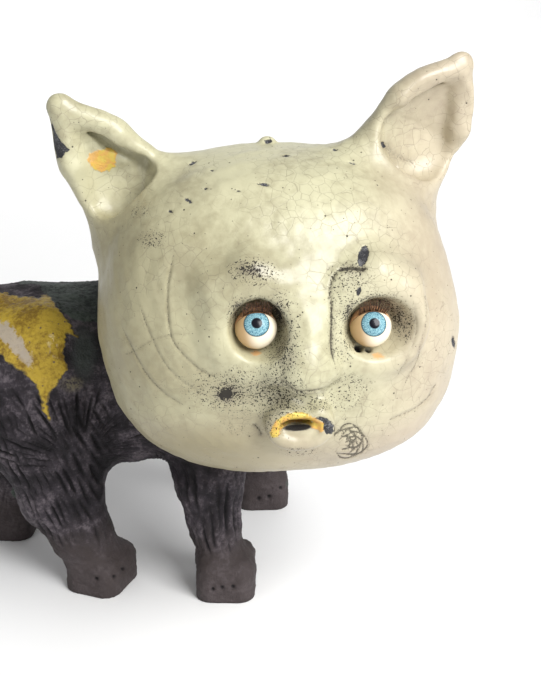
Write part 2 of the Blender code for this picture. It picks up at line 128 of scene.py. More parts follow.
# Each ear has the middle of its base, its tip, half its width at the base, the share of that at half its
# length, the roll of its rim, the share of its length where its hollow starts, and that hollow's turn. The
# sign of inner tells on which side of its middle the head lies, and the last value how dark the shade
# painted along its crease is.
EARS = {
    "right": {
        "base": (0.0, -72.0, 229.0),
        "tip": (-34.5, -78.0, 276.0),
        "half_width": 28.2,
        "waist": 0.54,
        "rim": 3.6,
        "start": 0.26,
        "turn": -6.0,
        "inner": 1.0,
        "line_soot_and_shade": 1.15,
    },
    "left": {
        "base": (117.0, -72.0, 240.0),
        "tip": (147.5, -78.0, 292.0),
        "half_width": 30.0,
        "waist": 0.70,
        "rim": 2.5,
        "start": 0.38,
        "turn": 24.0,
        "inner": -1.0,
        "line_soot_and_shade": 0.45,
    },
}
EAR_FLATNESS = 1.9
EAR_TIP_RADIUS = 5.2
EAR_RIM_TIP = 3.0
EAR_RIM_FOOT = 0.45
EAR_RIM_FOOT_PLACE = 0.92
EAR_RIM_FORWARD = 1.0
EAR_RIM_JOIN = 5.0
EAR_PRESS = 7.5
EAR_HOLLOW_TIP = 2.2
EAR_HOLLOW_SHORT = 2.0
EAR_FOOT = 6.0
EAR_FILLET = 12.0
EAR_CREASE = 3.2
EAR_CREASE_TIP = 1.9
EAR_CREASE_PRESS = 0.2
EAR_CREASE_FOOT = 2.2
EAR_CREASE_FOOT_PRESS = 3.6
EAR_SHADE_CORE = 2.0
EAR_SHADE_FADE = 1.3

# The sockets of the eyes: each one's middle measured from its eye, and its half sizes.
EYE_PLACES = {
    "right": np.array([47.3, -134.0, 187.6]),
    "left": np.array([96.2, -134.0, 186.3]),
}
SOCKETS = {
    "right": {"offset": (0.2, -8.0, 1.3), "radii": (11.8, 16.5, 13.2), "outward": -1},
    "left": {"offset": (2.4, -8.0, 1.0), "radii": (14.6, 16.5, 13.4), "outward": 1},
}
SOCKET_RIM = {"wider": 4.4, "higher": 3.6, "forward": 1.5, "thickness": 4.0}
SOCKET_RIM_FILLET = 10.0
SOCKET_EDGE = 2.4

# The brows are rolled from the inner to the outer corner of each eye, and measured from the eye.
BROW = ((-12.0, 0.5, 20.0, 4.0), (2.0, 0.5, 25.0, 4.5), (16.0, 4.0, 19.0, 4.0))
BROW_FILLET = 14.0
NOSE = (
    (72.0, -126.0, 214.0, 7.0),
    (70.0, -131.0, 200.0, 9.0),
    (68.5, -136.5, 187.0, 11.0),
    (67.0, -141.5, 177.0, 12.0),
)
NOSE_FLANK = ((62.0, -126.0, 204.0, 8.0), (57.5, -134.0, 180.0, 8.5))
NOSE_WINGS = ((57.5, -142.0, 170.5, 7.0), (67.0, -146.0, 170.0, 8.0), (75.0, -142.5, 171.0, 6.5))
NOSE_FILLET = 6.0
FLANK_FILLET = 11.0
LIPS = {"centre": (65.0, -143.5, 146.0), "half_width": 11.0, "half_height": 7.6, "thickness": 3.8}
MOUTH = {"centre": (64.5, -147.0, 145.2), "radii": (7.4, 13.0, 2.6)}
INNER_LIP = {"centre": (65.0, -142.6, 144.0), "radii": (11.0, 3.2, 8.0)}
MOUTH_GAP = {"centre": (63.4, -146.0, 147.4), "radii": (7.2, 11.0, 2.0)}
PHILTRUM = ((55.0, -146.0, 161.0, 4.4), (67.0, -148.0, 158.6, 5.4), (79.0, -145.0, 162.0, 4.2))
LIP_FILLET = 7.0
MOUTH_EDGE = 1.8

# The doll's eyes: the turn and rise of each gaze in degrees, the angles from it at which the iris and the
# pupil end, and the angle of the lid's edge above the level. The skin stays a little inside the radius.
EYE_RADIUS = 9.0
EYE_INSIDE = 0.1
EYE_GAZES = {"right": (-3.4, 32.0), "left": (0.0, 27.0)}
IRIS_SPREAD = math.radians(36.5)
PUPIL_SPREAD = math.radians(14.5)
LID_HEIGHT = math.radians(64.0)
CORNEA_RISE = 0.35
EYE_ROWS = 96
EYE_COLUMNS = 128

# The lashes stand on the lid's edge over a span to each side, and lean forwards and up.
LASH_COUNT = 24
LASH_LENGTH = 7.2
LASH_RADIUS = 0.26
LASH_SPAN = math.radians(39.0)
LASH_LEAN = math.radians(57.0)
LASH_RINGS = 6
LASH_SIDES = 3
LASH_SEEDS = {"right": 7, "left": 9}

# What a mask of depths holds where no mark is near.
OUTSIDE = -20.0

# Lines scratched into the glazed clay: half width, depth in millimetres, darkness, places in the view. The
# line under the nose tip is soot and painted shade under the nose, and the wide last line is a painted
# shadow along the left ear's base, barely cut.
SCRATCHES_AND_SHADE_LINES = (
    (1.3, 0.55, 0.30, ((174, 251), (167, 290), (169, 328), (176, 346), (190, 362), (204, 373), (217, 378))),
    (1.2, 0.35, 0.20, ((140, 305), (147, 328), (156, 348), (167, 367), (183, 382), (204, 394))),
    (1.3, 0.45, 0.25, ((122, 328), (133, 351), (144, 371), (158, 387), (170, 398), (183, 405))),
    (1.0, 0.25, 0.20, ((124, 355), (136, 350), (151, 341), (169, 335), (194, 334))),
    (1.2, 0.30, 0.25, ((425, 296), (427, 317), (422, 342), (416, 364), (404, 385))),
    (1.2, 0.30, 0.20, ((413, 300), (416, 330), (409, 355), (398, 375))),
    (1.3, 0.40, 0.30, ((387, 421), (411, 411), (427, 399), (436, 384))),
    (1.3, 0.80, 0.80, ((338, 271), (333, 277), (330, 290), (331, 305), (332, 326), (332, 345), (335, 365))),
    (1.8, 1.10, 1.00, ((337, 271), (343, 269), (352, 268), (361, 269), (367, 267))),
    # Under the nose tip: soot and painted shade.
    (1.6, 0.90, 0.42, ((279, 377), (287, 385), (297, 391), (308, 392), (322, 390), (334, 384))),
    (1.4, 0.60, 0.50, ((253, 424), (258, 430), (262, 437))),
    # Along the left ear's base: a painted shadow.
    (2.6, 0.30, 0.30, ((384, 143), (390, 151), (402, 159), (416, 164))),
)

# Where smoke has speckled the glaze: the middle, the half width, the half height and the strength. The
# small spots just beside the eyes lie in the gaps of the sockets, and are soot and painted shade there.
# Over each eye an arc of painted shade, speckled like the smoke, runs along the gap at the top of its
# socket: how far above the eye, and its radius, half width and strength.
SMOKE = (
    (250, 268, 13, 6, 0.85), (286, 326, 11, 24, 0.50), (283, 352, 12, 12, 0.45),
    (341, 325, 10, 34, 0.16), (352, 284, 18, 11, 0.34), (352, 270, 14, 5, 0.55),
    (322, 404, 26, 7, 0.30), (283, 392, 17, 10, 0.42), (226, 394, 7.5, 6.5, 1.30),
    (226, 389, 34, 18, 0.34), (262, 392, 22, 13, 0.34), (275, 425, 8, 10, 0.45),
    (352, 386, 20, 12, 0.22), (151, 239, 11, 7, 0.50), (140, 212, 8, 5, 0.40),
    (255, 275, 18, 10, 0.35), (345, 348, 8, 10, 0.30), (404, 325, 8, 14, 0.45),
    # The spots at (236, 308), (278, 310), (398, 314), (385, 299) and (349, 312) lie in the sockets' gaps:
    # soot and painted shade.
    (330, 318, 5, 40, 0.08), (236, 308, 6, 8, 0.55), (278, 310, 6, 9, 0.60),
    (398, 314, 6, 9, 0.60), (385, 299, 10, 4, 0.50), (349, 312, 4, 9, 0.55),
    (236, 430, 26, 10, 0.12), (284, 408, 16, 8, 0.34), (286, 366, 14, 12, 0.30),
    (300, 452, 20, 5, 0.25),
)
SMOKE_STEEPNESS = 0.7
SOCKET_SHADE_ARC = {"rise": 2.0, "radius": 26.5, "half_width": 3.2, "strength": 0.55}

# Spots where the glaze is missing and the black clay shows: middle, half sizes and turn.
CHIPS = (
    (363, 256, 5.2, 11.0, 17), (359, 292, 2.4, 4.4, 15), (329, 428, 6.0, 6.5, -30),
    (324, 420, 8.0, 2.4, 20), (192, 163, 4.5, 1.4, -25), (188, 200, 4.5, 1.5, 30),
    (170, 211, 2.6, 1.4, 20), (206, 189, 2.2, 1.2, 0), (212, 170, 2.0, 1.0, 20),
    (264, 185, 6.5, 1.5, 10), (238, 191, 3.0, 1.0, 10), (286, 155, 3.5, 1.0, 0),
    (352, 163, 3.0, 1.0, 20), (335, 149, 2.4, 1.1, 0), (454, 342, 1.6, 6.0, -5),
    (384, 145, 1.8, 3.6, -30), (268, 141, 4.0, 2.2, 0),
)

# The chip along the outer edge of the right ear, as an outline.
EAR_CHIP = (
    (38, 106), (47, 112), (50, 120), (55, 132), (61, 142), (70, 150), (64, 154), (62, 158), (45, 160),
)

# Gold lustre in the ear and along the upper lip, and glue under the eyes: middle, half sizes and turn.
GOLD = ((102, 161, 14.5, 11.0, 15), (108, 156, 10.0, 8.0, -30))
GOLD_LIP = ((275, 433), (279, 425), (288, 419), (299, 417), (311, 421), (321, 427))
GOLD_LIP_HALF_WIDTH = 5.2
EYE_GLUE = ((256, 353, 5.0, 3.6, 0), (377.5, 356, 6.8, 3.4, 8))
EYE_HOLES = ((359, 348, 4.2), (368, 350, 3.0))
# The mouth's opening: bare clay painted on to black as the shade inside it.
MOUTH_SLIT = (297.5, 427.5, 14.0, 3.4, -3)

# The scribble on the chin is a set of wavering arcs: its middle, how many, the first one's radius, what
# each next one adds, how far they waver, and their line.
CHIN_SWIRL = (349.0, 442.0)
SWIRL_TURNS = 8
SWIRL_FIRST = 2.2
SWIRL_STEP = 2.1
SWIRL_WAVER = 1.7
SWIRL_LINE = {"half_width": 0.9, "depth": 0.6, "inside": 0.45}

# Limits are a measure, the value where a thing has gone, and the value where it is whole. In the view
# these are the pinkish tint of painted warm reflected light to the right and along the chin, and the
# painted shade to the left and below.
WARM_LIGHT_SIDE = (("x", 330.0, 450.0),)
WARM_LIGHT_CHIN = (("y", 400.0, 460.0),)
PAINTED_SHADE_SIDE = (("x", 290.0, 110.0), ("y", 150.0, 260.0))
PAINTED_SHADE_JAW = (("y", 395.0, 455.0), ("x", 330.0, 200.0))

# The yellow glaze on the flank, its pale middle, and the green-grey glaze of the withers.
YELLOW_PATCH = (
    (-60, 300), (-20, 290), (0, 292), (20, 296), (39, 298), (48, 294), (56, 305), (64, 317), (72, 328),
    (79, 339), (66, 333), (65, 350), (67, 370), (58, 385), (49, 395), (48, 410), (51, 423), (43, 412),
    (40, 396), (34, 383), (17, 370), (0, 354), (-30, 345), (-60, 340),
)
PALE_PATCH = (
    (-30, 325), (0, 322), (9, 323), (22, 338), (35, 359), (33, 369), (23, 364), (8, 347), (0, 341),
    (-30, 338),
)
GREEN_PATCH = (
    (38, 283), (46, 262), (110, 262), (112, 324), (104, 323), (84, 322), (73, 320), (63, 313), (52, 302),
    (43, 293),
)
SHEEN = (84.0, 352.0, 14.0, 34.0)
BLOOM = (72.0, 384.0, 13.0, 9.0)

# Grooves that a tool carved as fur, in families: the length, spacing and half width of the strokes in
# millimetres, their depth against the others, a seed, and the family's limits.
FUR = {
    "fan": {
        "stroke": (27.0, 4.4, 1.25),
        "depth": 1.0,
        "seed": 5,
        "limits": (
            ("radius", 10, 20),
            ("radius", 80, 60),
            ("z", 70, 84),
            ("z", 128, 118),
            ("side", 0.25, 0.6),
        ),
    },
    "haunch": {
        "stroke": (21.0, 4.1, 1.15),
        "depth": 1.0,
        "seed": 11,
        "limits": (("x", -6, -24), ("z", 122, 108), ("z", 24, 40), ("side", 0.25, 0.6)),
    },
    "shins": {
        "stroke": (34.0, 4.6, 1.2),
        "depth": 1.0,
        "seed": 23,
        "limits": (("z", 84, 70), ("z", 22, 32), ("x", -10, 6)),
    },
    "rump": {
        "stroke": (16.0, 4.4, 1.2),
        "depth": 1.0,
        "seed": 31,
        "limits": (("x", -70, -92), ("z", 150, 130)),
    },
    "chest": {
        "stroke": (15.0, 5.2, 1.3),
        "depth": 0.5,
        "seed": 41,
        "limits": (("x", 10, 40), ("z", 132, 120), ("z", 70, 84)),
    },
}
FAN_CENTRE = (-34.0, 84.0)
FAN_RADIUS = 44.0
HAUNCH_SLANT = 0.35
SHIN_RADIUS = 15.0
TRUNK_RADIUS = 30.0
FIRST_COLUMN = 300.0
FUR_DEPTH = 2.5

# The holes pricked into the toes, in the view.
TOE_HOLES = (
    (96, 579), (115, 577), (124, 569), (213, 590), (222, 588), (233, 587), (259, 499), (269, 497),
    (281, 488),
)
TOE_HOLE_RADIUS = 3.0
TOE_HOLE_DEPTH = 1.3

# The floor's paper sweeps up into a wall, in metres; each lamp has its place, its aim, its side and watts.
FLOOR = {"front": -4.0, "bend_from": 3.0, "bend_radius": 1.5, "top": 5.0, "half_width": 6.0}
BEND_STEPS = 13
PAPER_WHITE = (0.86, 0.86, 0.86, 1.0)
ROOM_STRENGTH = 0.33
LAMPS = {
    "key": {"place": (1.05, -1.45, 1.45), "aim": (0.03, -0.05, 0.18), "side": 1.3, "power": 80.0},
    "fill": {"place": (-1.3, -1.1, 0.7), "aim": (0.03, -0.05, 0.18), "side": 1.0, "power": 4.0},
    "back": {"place": (0.3, 2.0, 2.2), "aim": (0.0, 3.6, 0.6), "side": 2.0, "power": 60.0},
}


def smooth_join(first, second, reach):
    """Both shapes, with a fillet about as wide as reach where they meet."""
    share = np.clip(0.5 + 0.5 * (second - first) / reach, 0.0, 1.0)
    return second + (first - second) * share - reach * share * (1.0 - share)


def smooth_cut(shape, cutter, reach):
    """The shape without the cutter, with its rim rounded by about reach."""
    return -smooth_join(-shape, cutter, reach)


def smooth_step(value, start, end):
    """Zero before start, one after end, and three squares less two cubes of the share between."""
    share = np.clip((value - start) / (end - start), 0.0, 1.0)
    return share * share * (3.0 - 2.0 * share)


def within(measures, limits):
    """The product of soft steps, each from zero at its limit's first value to one at its second."""
    share = 1.0
    for measure, gone, whole in limits:
        share = share * smooth_step(measures[measure], gone, whole)
    return share


def turned(points, centre, degrees):
    """The points measured from a centre, in axes turned about +Z by some degrees."""
    angle = math.radians(degrees)
    moved = points - np.asarray(centre, float)
    x = math.cos(angle) * moved[:, 0] + math.sin(angle) * moved[:, 1]
    y = math.cos(angle) * moved[:, 1] - math.sin(angle) * moved[:, 0]
    return np.stack([x, y, moved[:, 2]], axis=1)


def ball(points, centre, radii):
    """An ellipsoid: its stretched radius less one, over that radius's own slope."""
    radii = np.asarray(radii, float)
    scaled = (points - np.asarray(centre, float)) / radii
    size = np.sqrt((scaled**2).sum(axis=1)) + 1e-9
    slope = np.sqrt(((scaled / radii) ** 2).sum(axis=1)) + 1e-9
    return size * (size - 1.0) / slope


def pressed_ball(points, centre, radii, squareness):
    """A ball pressed towards a box: the same with a power above two in its radius."""
    moved = points - np.asarray(centre, float)
    scaled = np.abs(moved) / np.asarray(radii, float)
    size = (scaled**squareness).sum(axis=1) ** (1.0 / squareness) + 1e-9
    return np.sqrt((moved**2).sum(axis=1)) * (1.0 - 1.0 / size)


def rolled(points, joints, reach=ROLL_FILLET):
    """A rolled piece of clay through joints of (x, y, z, radius): tapered round lengths, joined softly."""
    joints = np.asarray(joints, float)
    whole = None
    for start, end in zip(joints[:-1], joints[1:]):
        along = end[:3] - start[:3]
        share = np.clip((points - start[:3]) @ along / (along @ along), 0.0, 1.0)
        nearest = start[:3] + share[:, None] * along
        length = np.sqrt(((points - nearest) ** 2).sum(axis=1)) - (start[3] + share * (end[3] - start[3]))
        whole = length if whole is None else smooth_join(whole, length, reach)
    return whole


def block(points, centre, half_sizes, edge, degrees):
    """A block with rounded edges, turned about its upright axis."""
    outside = np.abs(turned(points, centre, degrees)) - (np.asarray(half_sizes, float) - edge)
    far = np.sqrt((np.maximum(outside, 0.0) ** 2).sum(axis=1))
    return far + np.minimum(outside.max(axis=1), 0.0) - edge


def hoop(points, centre, half_width, half_height, thickness):
    """An oval ring that faces -Y: the distance to an ellipse, taken round as a tube."""
    moved = points - np.asarray(centre, float)
    size = np.sqrt((moved[:, 0] / half_width) ** 2 + (moved[:, 2] / half_height) ** 2) + 1e-9
    slope = np.sqrt((moved[:, 0] / half_width**2) ** 2 + (moved[:, 2] / half_height**2) ** 2) + 1e-9
    across = size * (size - 1.0) / slope
    return np.sqrt(across**2 + moved[:, 1] ** 2) - thickness


def ear_axes(ear):
    """The ear's own axes: across it, out of its hollow, and along it to the tip."""
    base = np.asarray(ear["base"], float)
    along = np.asarray(ear["tip"], float) - base
    length = np.sqrt(along @ along)
    along = along / length
    angle = math.radians(ear["turn"])
    out = np.array([math.sin(angle), -math.cos(angle), 0.0])
    out = out - along * (out @ along)
    out = out / np.sqrt(out @ out)
    return base, np.cross(along, out), out, along, length


def ear_clay(points, ear):
    """The forms of an ear: a flattened cone, the hollow pressed into its front, its rim and its crease.

    The hollow is the cone again, thinner by the wall all round and moved forwards, so that it runs out
    before the solid tip. The rim is a roll of clay just inside the cone's outline. The crease is pressed
    along the rim on the head's side of the hollow, round its lower corner and back along its foot.
    """
    base, across, out, along, length = ear_axes(ear)
    moved = points - base
    own = np.stack([moved @ across, moved @ out, moved @ along], axis=1)
    flat = np.array([1.0, EAR_FLATNESS, 1.0])
    wide, waist = ear["half_width"], ear["half_width"] * ear["waist"]
    middle, tip = 0.5 * length, length - EAR_TIP_RADIUS
    cone = [(0, 0, -EAR_FOOT, wide), (0, 0, middle, waist), (0, 0, tip, EAR_TIP_RADIUS)]
    skin = rolled(own * flat, cone, EAR_FILLET)
    pressed = (own - np.array([0.0, EAR_PRESS, 0.0])) * flat
    start, roll = ear["start"] * length, ear["rim"]
    low, half = 0.5 * (wide + waist) - roll, waist - roll
    bowl = [(0, 0, start, low), (0, 0, middle, half), (0, 0, tip - EAR_HOLLOW_SHORT, EAR_HOLLOW_TIP)]
    hollow = rolled(pressed, bowl, EAR_FILLET)
    foot = EAR_RIM_FOOT * roll
    rim = rolled(
        own,
        [
            (-EAR_RIM_FOOT_PLACE * low, 0, start, foot),
            (-half, EAR_RIM_FORWARD, middle, roll),
            (0, 0, tip, min(roll, EAR_RIM_TIP)),
            (half, EAR_RIM_FORWARD, middle, roll),
            (EAR_RIM_FOOT_PLACE * low, 0, start, foot),
        ],
    )
    inner = ear["inner"]
    crease = rolled(
        own,
        [
            (inner * 0.3 * half, EAR_CREASE_PRESS, 0.76 * length, EAR_CREASE_TIP),
            (inner * 0.62 * half, EAR_CREASE_PRESS, middle, EAR_CREASE),
            (inner * 0.72 * low, EAR_CREASE_PRESS, 0.85 * start, EAR_CREASE),
            (inner * 0.1 * low, EAR_CREASE_FOOT_PRESS, 0.1 * start, EAR_CREASE_FOOT),
        ],
    )
    return skin / EAR_FLATNESS, hollow / EAR_FLATNESS, rim, crease


def torso(points):
    """The barrel of the body with its haunches, shoulders, the neck that carries the head, and the tail."""
    squeeze = np.array([1.0, BARREL_HALF_HEIGHT / BARREL_HALF_WIDTH, 1.0])
    middle = BARREL_AXIS_Y * squeeze[1]
    axis = [(x, middle, BARREL_AXIS_Z, BARREL_HALF_HEIGHT) for x in BARREL_ENDS]
    barrel = rolled(points * squeeze, axis) / squeeze[1]
    for muscle in MUSCLES:
        barrel = smooth_join(barrel, ball(points, muscle["centre"], muscle["radii"]), MUSCLE_FILLET)
    body = smooth_join(barrel, rolled(points, NECK), NECK_FILLET)
    return smooth_join(body, rolled(points, TAIL), TAIL_FILLET)


def legs(points):
    """Four legs that taper to an ankle and end in block paws."""
    whole = None
    for leg in LEGS.values():
        shaft = rolled(points, leg["joints"], LEG_FILLET)
        paw = block(points, leg["paw"], PAW_HALF_SIZES, PAW_EDGE, leg["turn"])
        leg_clay = smooth_join(shaft, paw, ANKLE_FILLET)
        whole = leg_clay if whole is None else np.minimum(whole, leg_clay)
    return whole


def skull(points):
    """The head's main mass: a broad forehead and a broad jaw, and the nub left on top of it."""
    crown = pressed_ball(points, HEAD_CENTRE + CROWN["offset"], CROWN["radii"], CROWN_SQUARENESS)
    jaw = pressed_ball(points, HEAD_CENTRE + JAW["offset"], JAW["radii"], JAW_SQUARENESS)
    head = smooth_join(crown, jaw, SKULL_FILLET)
    return smooth_join(head, ball(points, CROWN_NUB["centre"], CROWN_NUB["radii"]), MOUTH_EDGE)


def face(points, head):
    """The doll's face pressed onto the skull: brows, nose, lips and the sockets of the eyes.

    The mouth is opened once, half filled again by the lower lip's inside, and a narrower gap is cut.
    """
    for side, socket in SOCKETS.items():
        place, outward = EYE_PLACES[side], socket["outward"]
        rim_middle = place + np.array([socket["offset"][0], -SOCKET_RIM["forward"], socket["offset"][2]])
        half_width = socket["radii"][0] + SOCKET_RIM["wider"]
        half_height = socket["radii"][2] + SOCKET_RIM["higher"]
        rim = hoop(points, rim_middle, half_width, half_height, SOCKET_RIM["thickness"])
        head = smooth_join(head, rim, SOCKET_RIM_FILLET)
        brow = [(place[0] + outward * x, place[1] + y, place[2] + z, radius) for x, y, z, radius in BROW]
        head = smooth_join(head, rolled(points, brow), BROW_FILLET)
    head = smooth_join(head, rolled(points, NOSE_FLANK), FLANK_FILLET)
    nose = smooth_join(rolled(points, NOSE), rolled(points, NOSE_WINGS), NOSE_FILLET)
    head = smooth_join(head, nose, NOSE_FILLET)
    lips = hoop(points, LIPS["centre"], LIPS["half_width"], LIPS["half_height"], LIPS["thickness"])
    head = smooth_join(head, lips, LIP_FILLET)
    head = smooth_cut(head, ball(points, MOUTH["centre"], MOUTH["radii"]), MOUTH_EDGE)
    for side, socket in SOCKETS.items():
        bowl = ball(points, EYE_PLACES[side] + np.array(socket["offset"]), socket["radii"])
        head = smooth_cut(head, bowl, SOCKET_EDGE)
    head = smooth_join(head, ball(points, INNER_LIP["centre"], INNER_LIP["radii"]), MOUTH_EDGE)
    head = smooth_cut(head, ball(points, MOUTH_GAP["centre"], MOUTH_GAP["radii"]), MOUTH_EDGE)
    return smooth_cut(head, rolled(points, PHILTRUM), MOUTH_EDGE)


def head_clay(points):
    """The head with its ears and face."""
    head = skull(points)
    for ear in EARS.values():
        skin, hollow, rim, crease = ear_clay(points, ear)
        head = smooth_cut(smooth_join(head, skin, EAR_FILLET), hollow, SOCKET_EDGE)
        head = smooth_join(head, rim, EAR_RIM_JOIN)
        head = smooth_cut(head, crease, SOCKET_EDGE)
    return face(points, head)


def body_clay(points):
    """The body, filleted into the head and cut off under the head's skin, and flat below."""
    body = smooth_join(torso(points), legs(points), BODY_FILLET)
    near = points[:, 2] > HEAD_CENTRE[2] - 1.5 * JAW["radii"][2]
    head = np.full(len(points), FAR_FROM_HEAD)
    head[near] = skull(points[near]) + NECK_UNDER_GLAZE
    joined = smooth_join(body, head, HEAD_FILLET)
    return np.maximum(np.maximum(joined, body - NECK_DEPTH), -points[:, 2])


def slope_of(shape, points, step=0.05):
    """The direction in which the distance grows, from small steps along each axis."""
    slopes = []
    for axis in range(3):
        shift = np.zeros(3)
        shift[axis] = step
        slopes.append((shape(points + shift) - shape(points - shift)) / (2.0 * step))
    return np.stack(slopes, axis=1)


def distances_near_skin(shape, low, step, blocks):
    """The distance on a grid of points, worked out only in the blocks that the skin may pass through.

    A block's middle tells whether the skin can reach into it: its distance is then less than the
    block's half diagonal. Everywhere else the middle's distance stands for the whole block.
    """
    side = BLOCK * step
    places = np.indices(blocks).reshape(3, -1).T
    middles = shape(low + (places + 0.5) * side)
    values = middles.reshape(blocks)
    for axis in range(3):
        values = np.repeat(values, BLOCK, axis=axis)
    values = np.pad(values, ((0, 1), (0, 1), (0, 1)), mode="edge")
    near = places[np.abs(middles) < side * 1.5]
    within = np.indices((BLOCK + 1,) * 3).reshape(3, -1).T
    for part in np.array_split(near, max(1, len(near) // BLOCKS_AT_ONCE)):
        grid = (part[:, None, :] * BLOCK + within).reshape(-1, 3)
        values[grid[:, 0], grid[:, 1], grid[:, 2]] = shape(low + grid * step)
    return values


def skin_of(shape, low, high, step):
    """The zero skin of a distance function as points and quads.

    Space is divided into cubes. Each cube that the skin passes through gets one point, the middle of
    the places where the skin crosses its edges, and the four cubes around each crossed edge give a quad.
    """
    low = np.asarray(low, float)
    blocks = tuple(np.ceil((np.asarray(high) - low) / (BLOCK * step)).astype(int))
    values = distances_near_skin(shape, low, step, blocks)
    inside = values < 0.0
    cells = np.array(values.shape) - 1
    corners = [(a, b, c) for a in (0, 1) for b in (0, 1) for c in (0, 1)]
    count = np.zeros(cells, np.int8)
    for a, b, c in corners:
        count += inside[a : a + cells[0], b : b + cells[1], c : c + cells[2]]
    active = (count > 0) & (count < 8)
    index = np.full(tuple(cells), -1)
    index[active] = np.arange(active.sum())
    at = np.argwhere(active)
    near = {}
    for corner in corners:
        x, y, z = (at + corner).T
        near[corner] = values[x, y, z]
    total = np.zeros((len(at), 3))
    crossings = np.zeros(len(at))
    for axis in range(3):
        for corner in corners:
            if corner[axis]:
                continue
            other = tuple(corner[k] + (k == axis) for k in range(3))
            start, end = near[corner], near[other]
            crossed = (start < 0.0) != (end < 0.0)
            share = np.where(crossed, start / np.where(crossed, start - end, 1.0), 0.0)
            for k in range(3):
                total[:, k] += crossed * (corner[k] + (share if k == axis else 0.0))
            crossings += crossed
    points = low + step * (at + total / crossings[:, None])
    quads = []
    for axis in range(3):
        u, v = (axis + 1) % 3, (axis + 2) % 3
        first = [slice(1, -1)] * 3
        first[axis] = slice(0, cells[axis])
        second = list(first)
        second[axis] = slice(1, cells[axis] + 1)
        start, end = inside[tuple(first)], inside[tuple(second)]
        for leaving in (True, False):
            edges = np.argwhere((start & ~end) if leaving else (~start & end))
            edges[:, u] += 1
            edges[:, v] += 1
            around = []
            for du, dv in ((1, 1), (0, 1), (0, 0), (1, 0)):
                cell = edges.copy()
                cell[:, u] -= du
                cell[:, v] -= dv
                around.append(index[cell[:, 0], cell[:, 1], cell[:, 2]])
            quad = np.stack(around, axis=1)
            quads.append(quad if leaving else quad[:, ::-1])
    slope = slope_of(shape, points)
    move = np.clip(shape(points), -step / 3, step / 3) / ((slope**2).sum(axis=1) + 1e-6)
    return points - move[:, None] * slope, slope, np.concatenate(quads)


def front_view(points):
    """Where points are seen in the front view: their sideways and upward shares of their depth."""
    ahead = np.array(
        [
            -math.sin(VIEW_TURN) * math.cos(VIEW_FALL),
            math.cos(VIEW_TURN) * math.cos(VIEW_FALL),
            -math.sin(VIEW_FALL),
        ]
    )
    right = np.array([math.cos(VIEW_TURN), math.sin(VIEW_TURN), 0.0])
    up = np.cross(right, ahead)
    moved = points - VIEW_POINT
    depth = moved @ ahead
    return np.stack(
        [
            VIEW_SIZE[0] / 2.0 + VIEW_SCALE * (moved @ right) / depth,
            VIEW_SIZE[1] / 2.0 - VIEW_SCALE * (moved @ up) / depth,
        ],
        axis=1,
    )


def seen_from_front(points, normals):
    """One where the skin faces the view point, falling to zero where it turns away."""
    towards = VIEW_POINT - points
    towards /= np.sqrt((towards**2).sum(axis=1))[:, None]
    return smooth_step((normals * towards).sum(axis=1), 0.02, 0.2)


def curve_through(places, per_span=6):
    """A smooth line through a few places: between two, the cubic that keeps the slope at each of them."""
    places = np.asarray(places, float)
    padded = np.concatenate([[2 * places[0] - places[1]], places, [2 * places[-1] - places[-2]]])
    share = np.linspace(0.0, 1.0, per_span, endpoint=False)[:, None]
    spans = []
    for a, b, c, d in zip(padded[:-3], padded[1:-2], padded[2:-1], padded[3:]):
        bend, twist = 2 * a - 5 * b + 4 * c - d, 3 * b - a - 3 * c + d
        spans.append(0.5 * (2 * b + (c - a) * share + bend * share**2 + twist * share**3))
    return np.concatenate([*spans, places[-1:]])


def distance_to_line(seen, line):
    """The distance of each seen point to a line of places, and how far along the line it is nearest."""
    nearest = np.full(len(seen), 1e9)
    along = np.zeros(len(seen))
    for k, (start, end) in enumerate(zip(line[:-1], line[1:])):
        run = end - start
        share = np.clip((seen - start) @ run / (run @ run), 0.0, 1.0)
        far = np.sqrt(((seen - start - share[:, None] * run) ** 2).sum(axis=1))
        closer = far < nearest
        nearest = np.where(closer, far, nearest)
        along = np.where(closer, (k + share) / (len(line) - 1), along)
    return nearest, along


def oval_depth(seen, x, y, half_width, half_height, degrees=0.0):
    """How deep each seen point lies inside a turned oval, about in the view's units; negative outside."""
    angle = math.radians(degrees)
    moved = seen - np.array([x, y])
    u = math.cos(angle) * moved[:, 0] + math.sin(angle) * moved[:, 1]
    v = math.cos(angle) * moved[:, 1] - math.sin(angle) * moved[:, 0]
    size = np.sqrt((u / half_width) ** 2 + (v / half_height) ** 2)
    return (1.0 - size) * min(half_width, half_height)


def ovals_depth(seen, ovals):
    """How deep each seen point lies inside the nearest of some ovals."""
    depth = np.full(len(seen), OUTSIDE)
    for oval in ovals:
        depth = np.maximum(depth, oval_depth(seen, *oval))
    return depth


def bell(seen, x, y, half_width, half_height, steepness=1.0):
    """One at a place of the view, falling off with the square of the stretched distance from it."""
    size = ((seen[:, 0] - x) / half_width) ** 2 + ((seen[:, 1] - y) / half_height) ** 2
    return np.exp(-steepness * size)


def pricked(seen, holes, gone, whole):
    """One in round holes of (x, y, radius), with a soft wall between two shares of the radius."""
    depth = np.zeros(len(seen))
    for x, y, radius in holes:
        size = np.sqrt(((seen - np.array([x, y])) ** 2).sum(axis=1)) / radius
        depth = np.maximum(depth, smooth_step(size, gone, whole))
    return depth


def outline_depth(seen, outline):
    """How deep each seen point lies inside a closed outline: the distance to it, negative outside."""
    outline = np.asarray(outline, float)
    closed = np.concatenate([outline, outline[:1]])
    far, _ = distance_to_line(seen, closed)
    crossings = np.zeros(len(seen), int)
    for start, end in zip(closed[:-1], closed[1:]):
        spans = (start[1] > seen[:, 1]) != (end[1] > seen[:, 1])
        rise = end[1] - start[1] if end[1] != start[1] else 1e-9
        crossings += spans & (seen[:, 0] < start[0] + (seen[:, 1] - start[1]) * (end[0] - start[0]) / rise)
    return np.where(crossings % 2 == 1, far, -far)


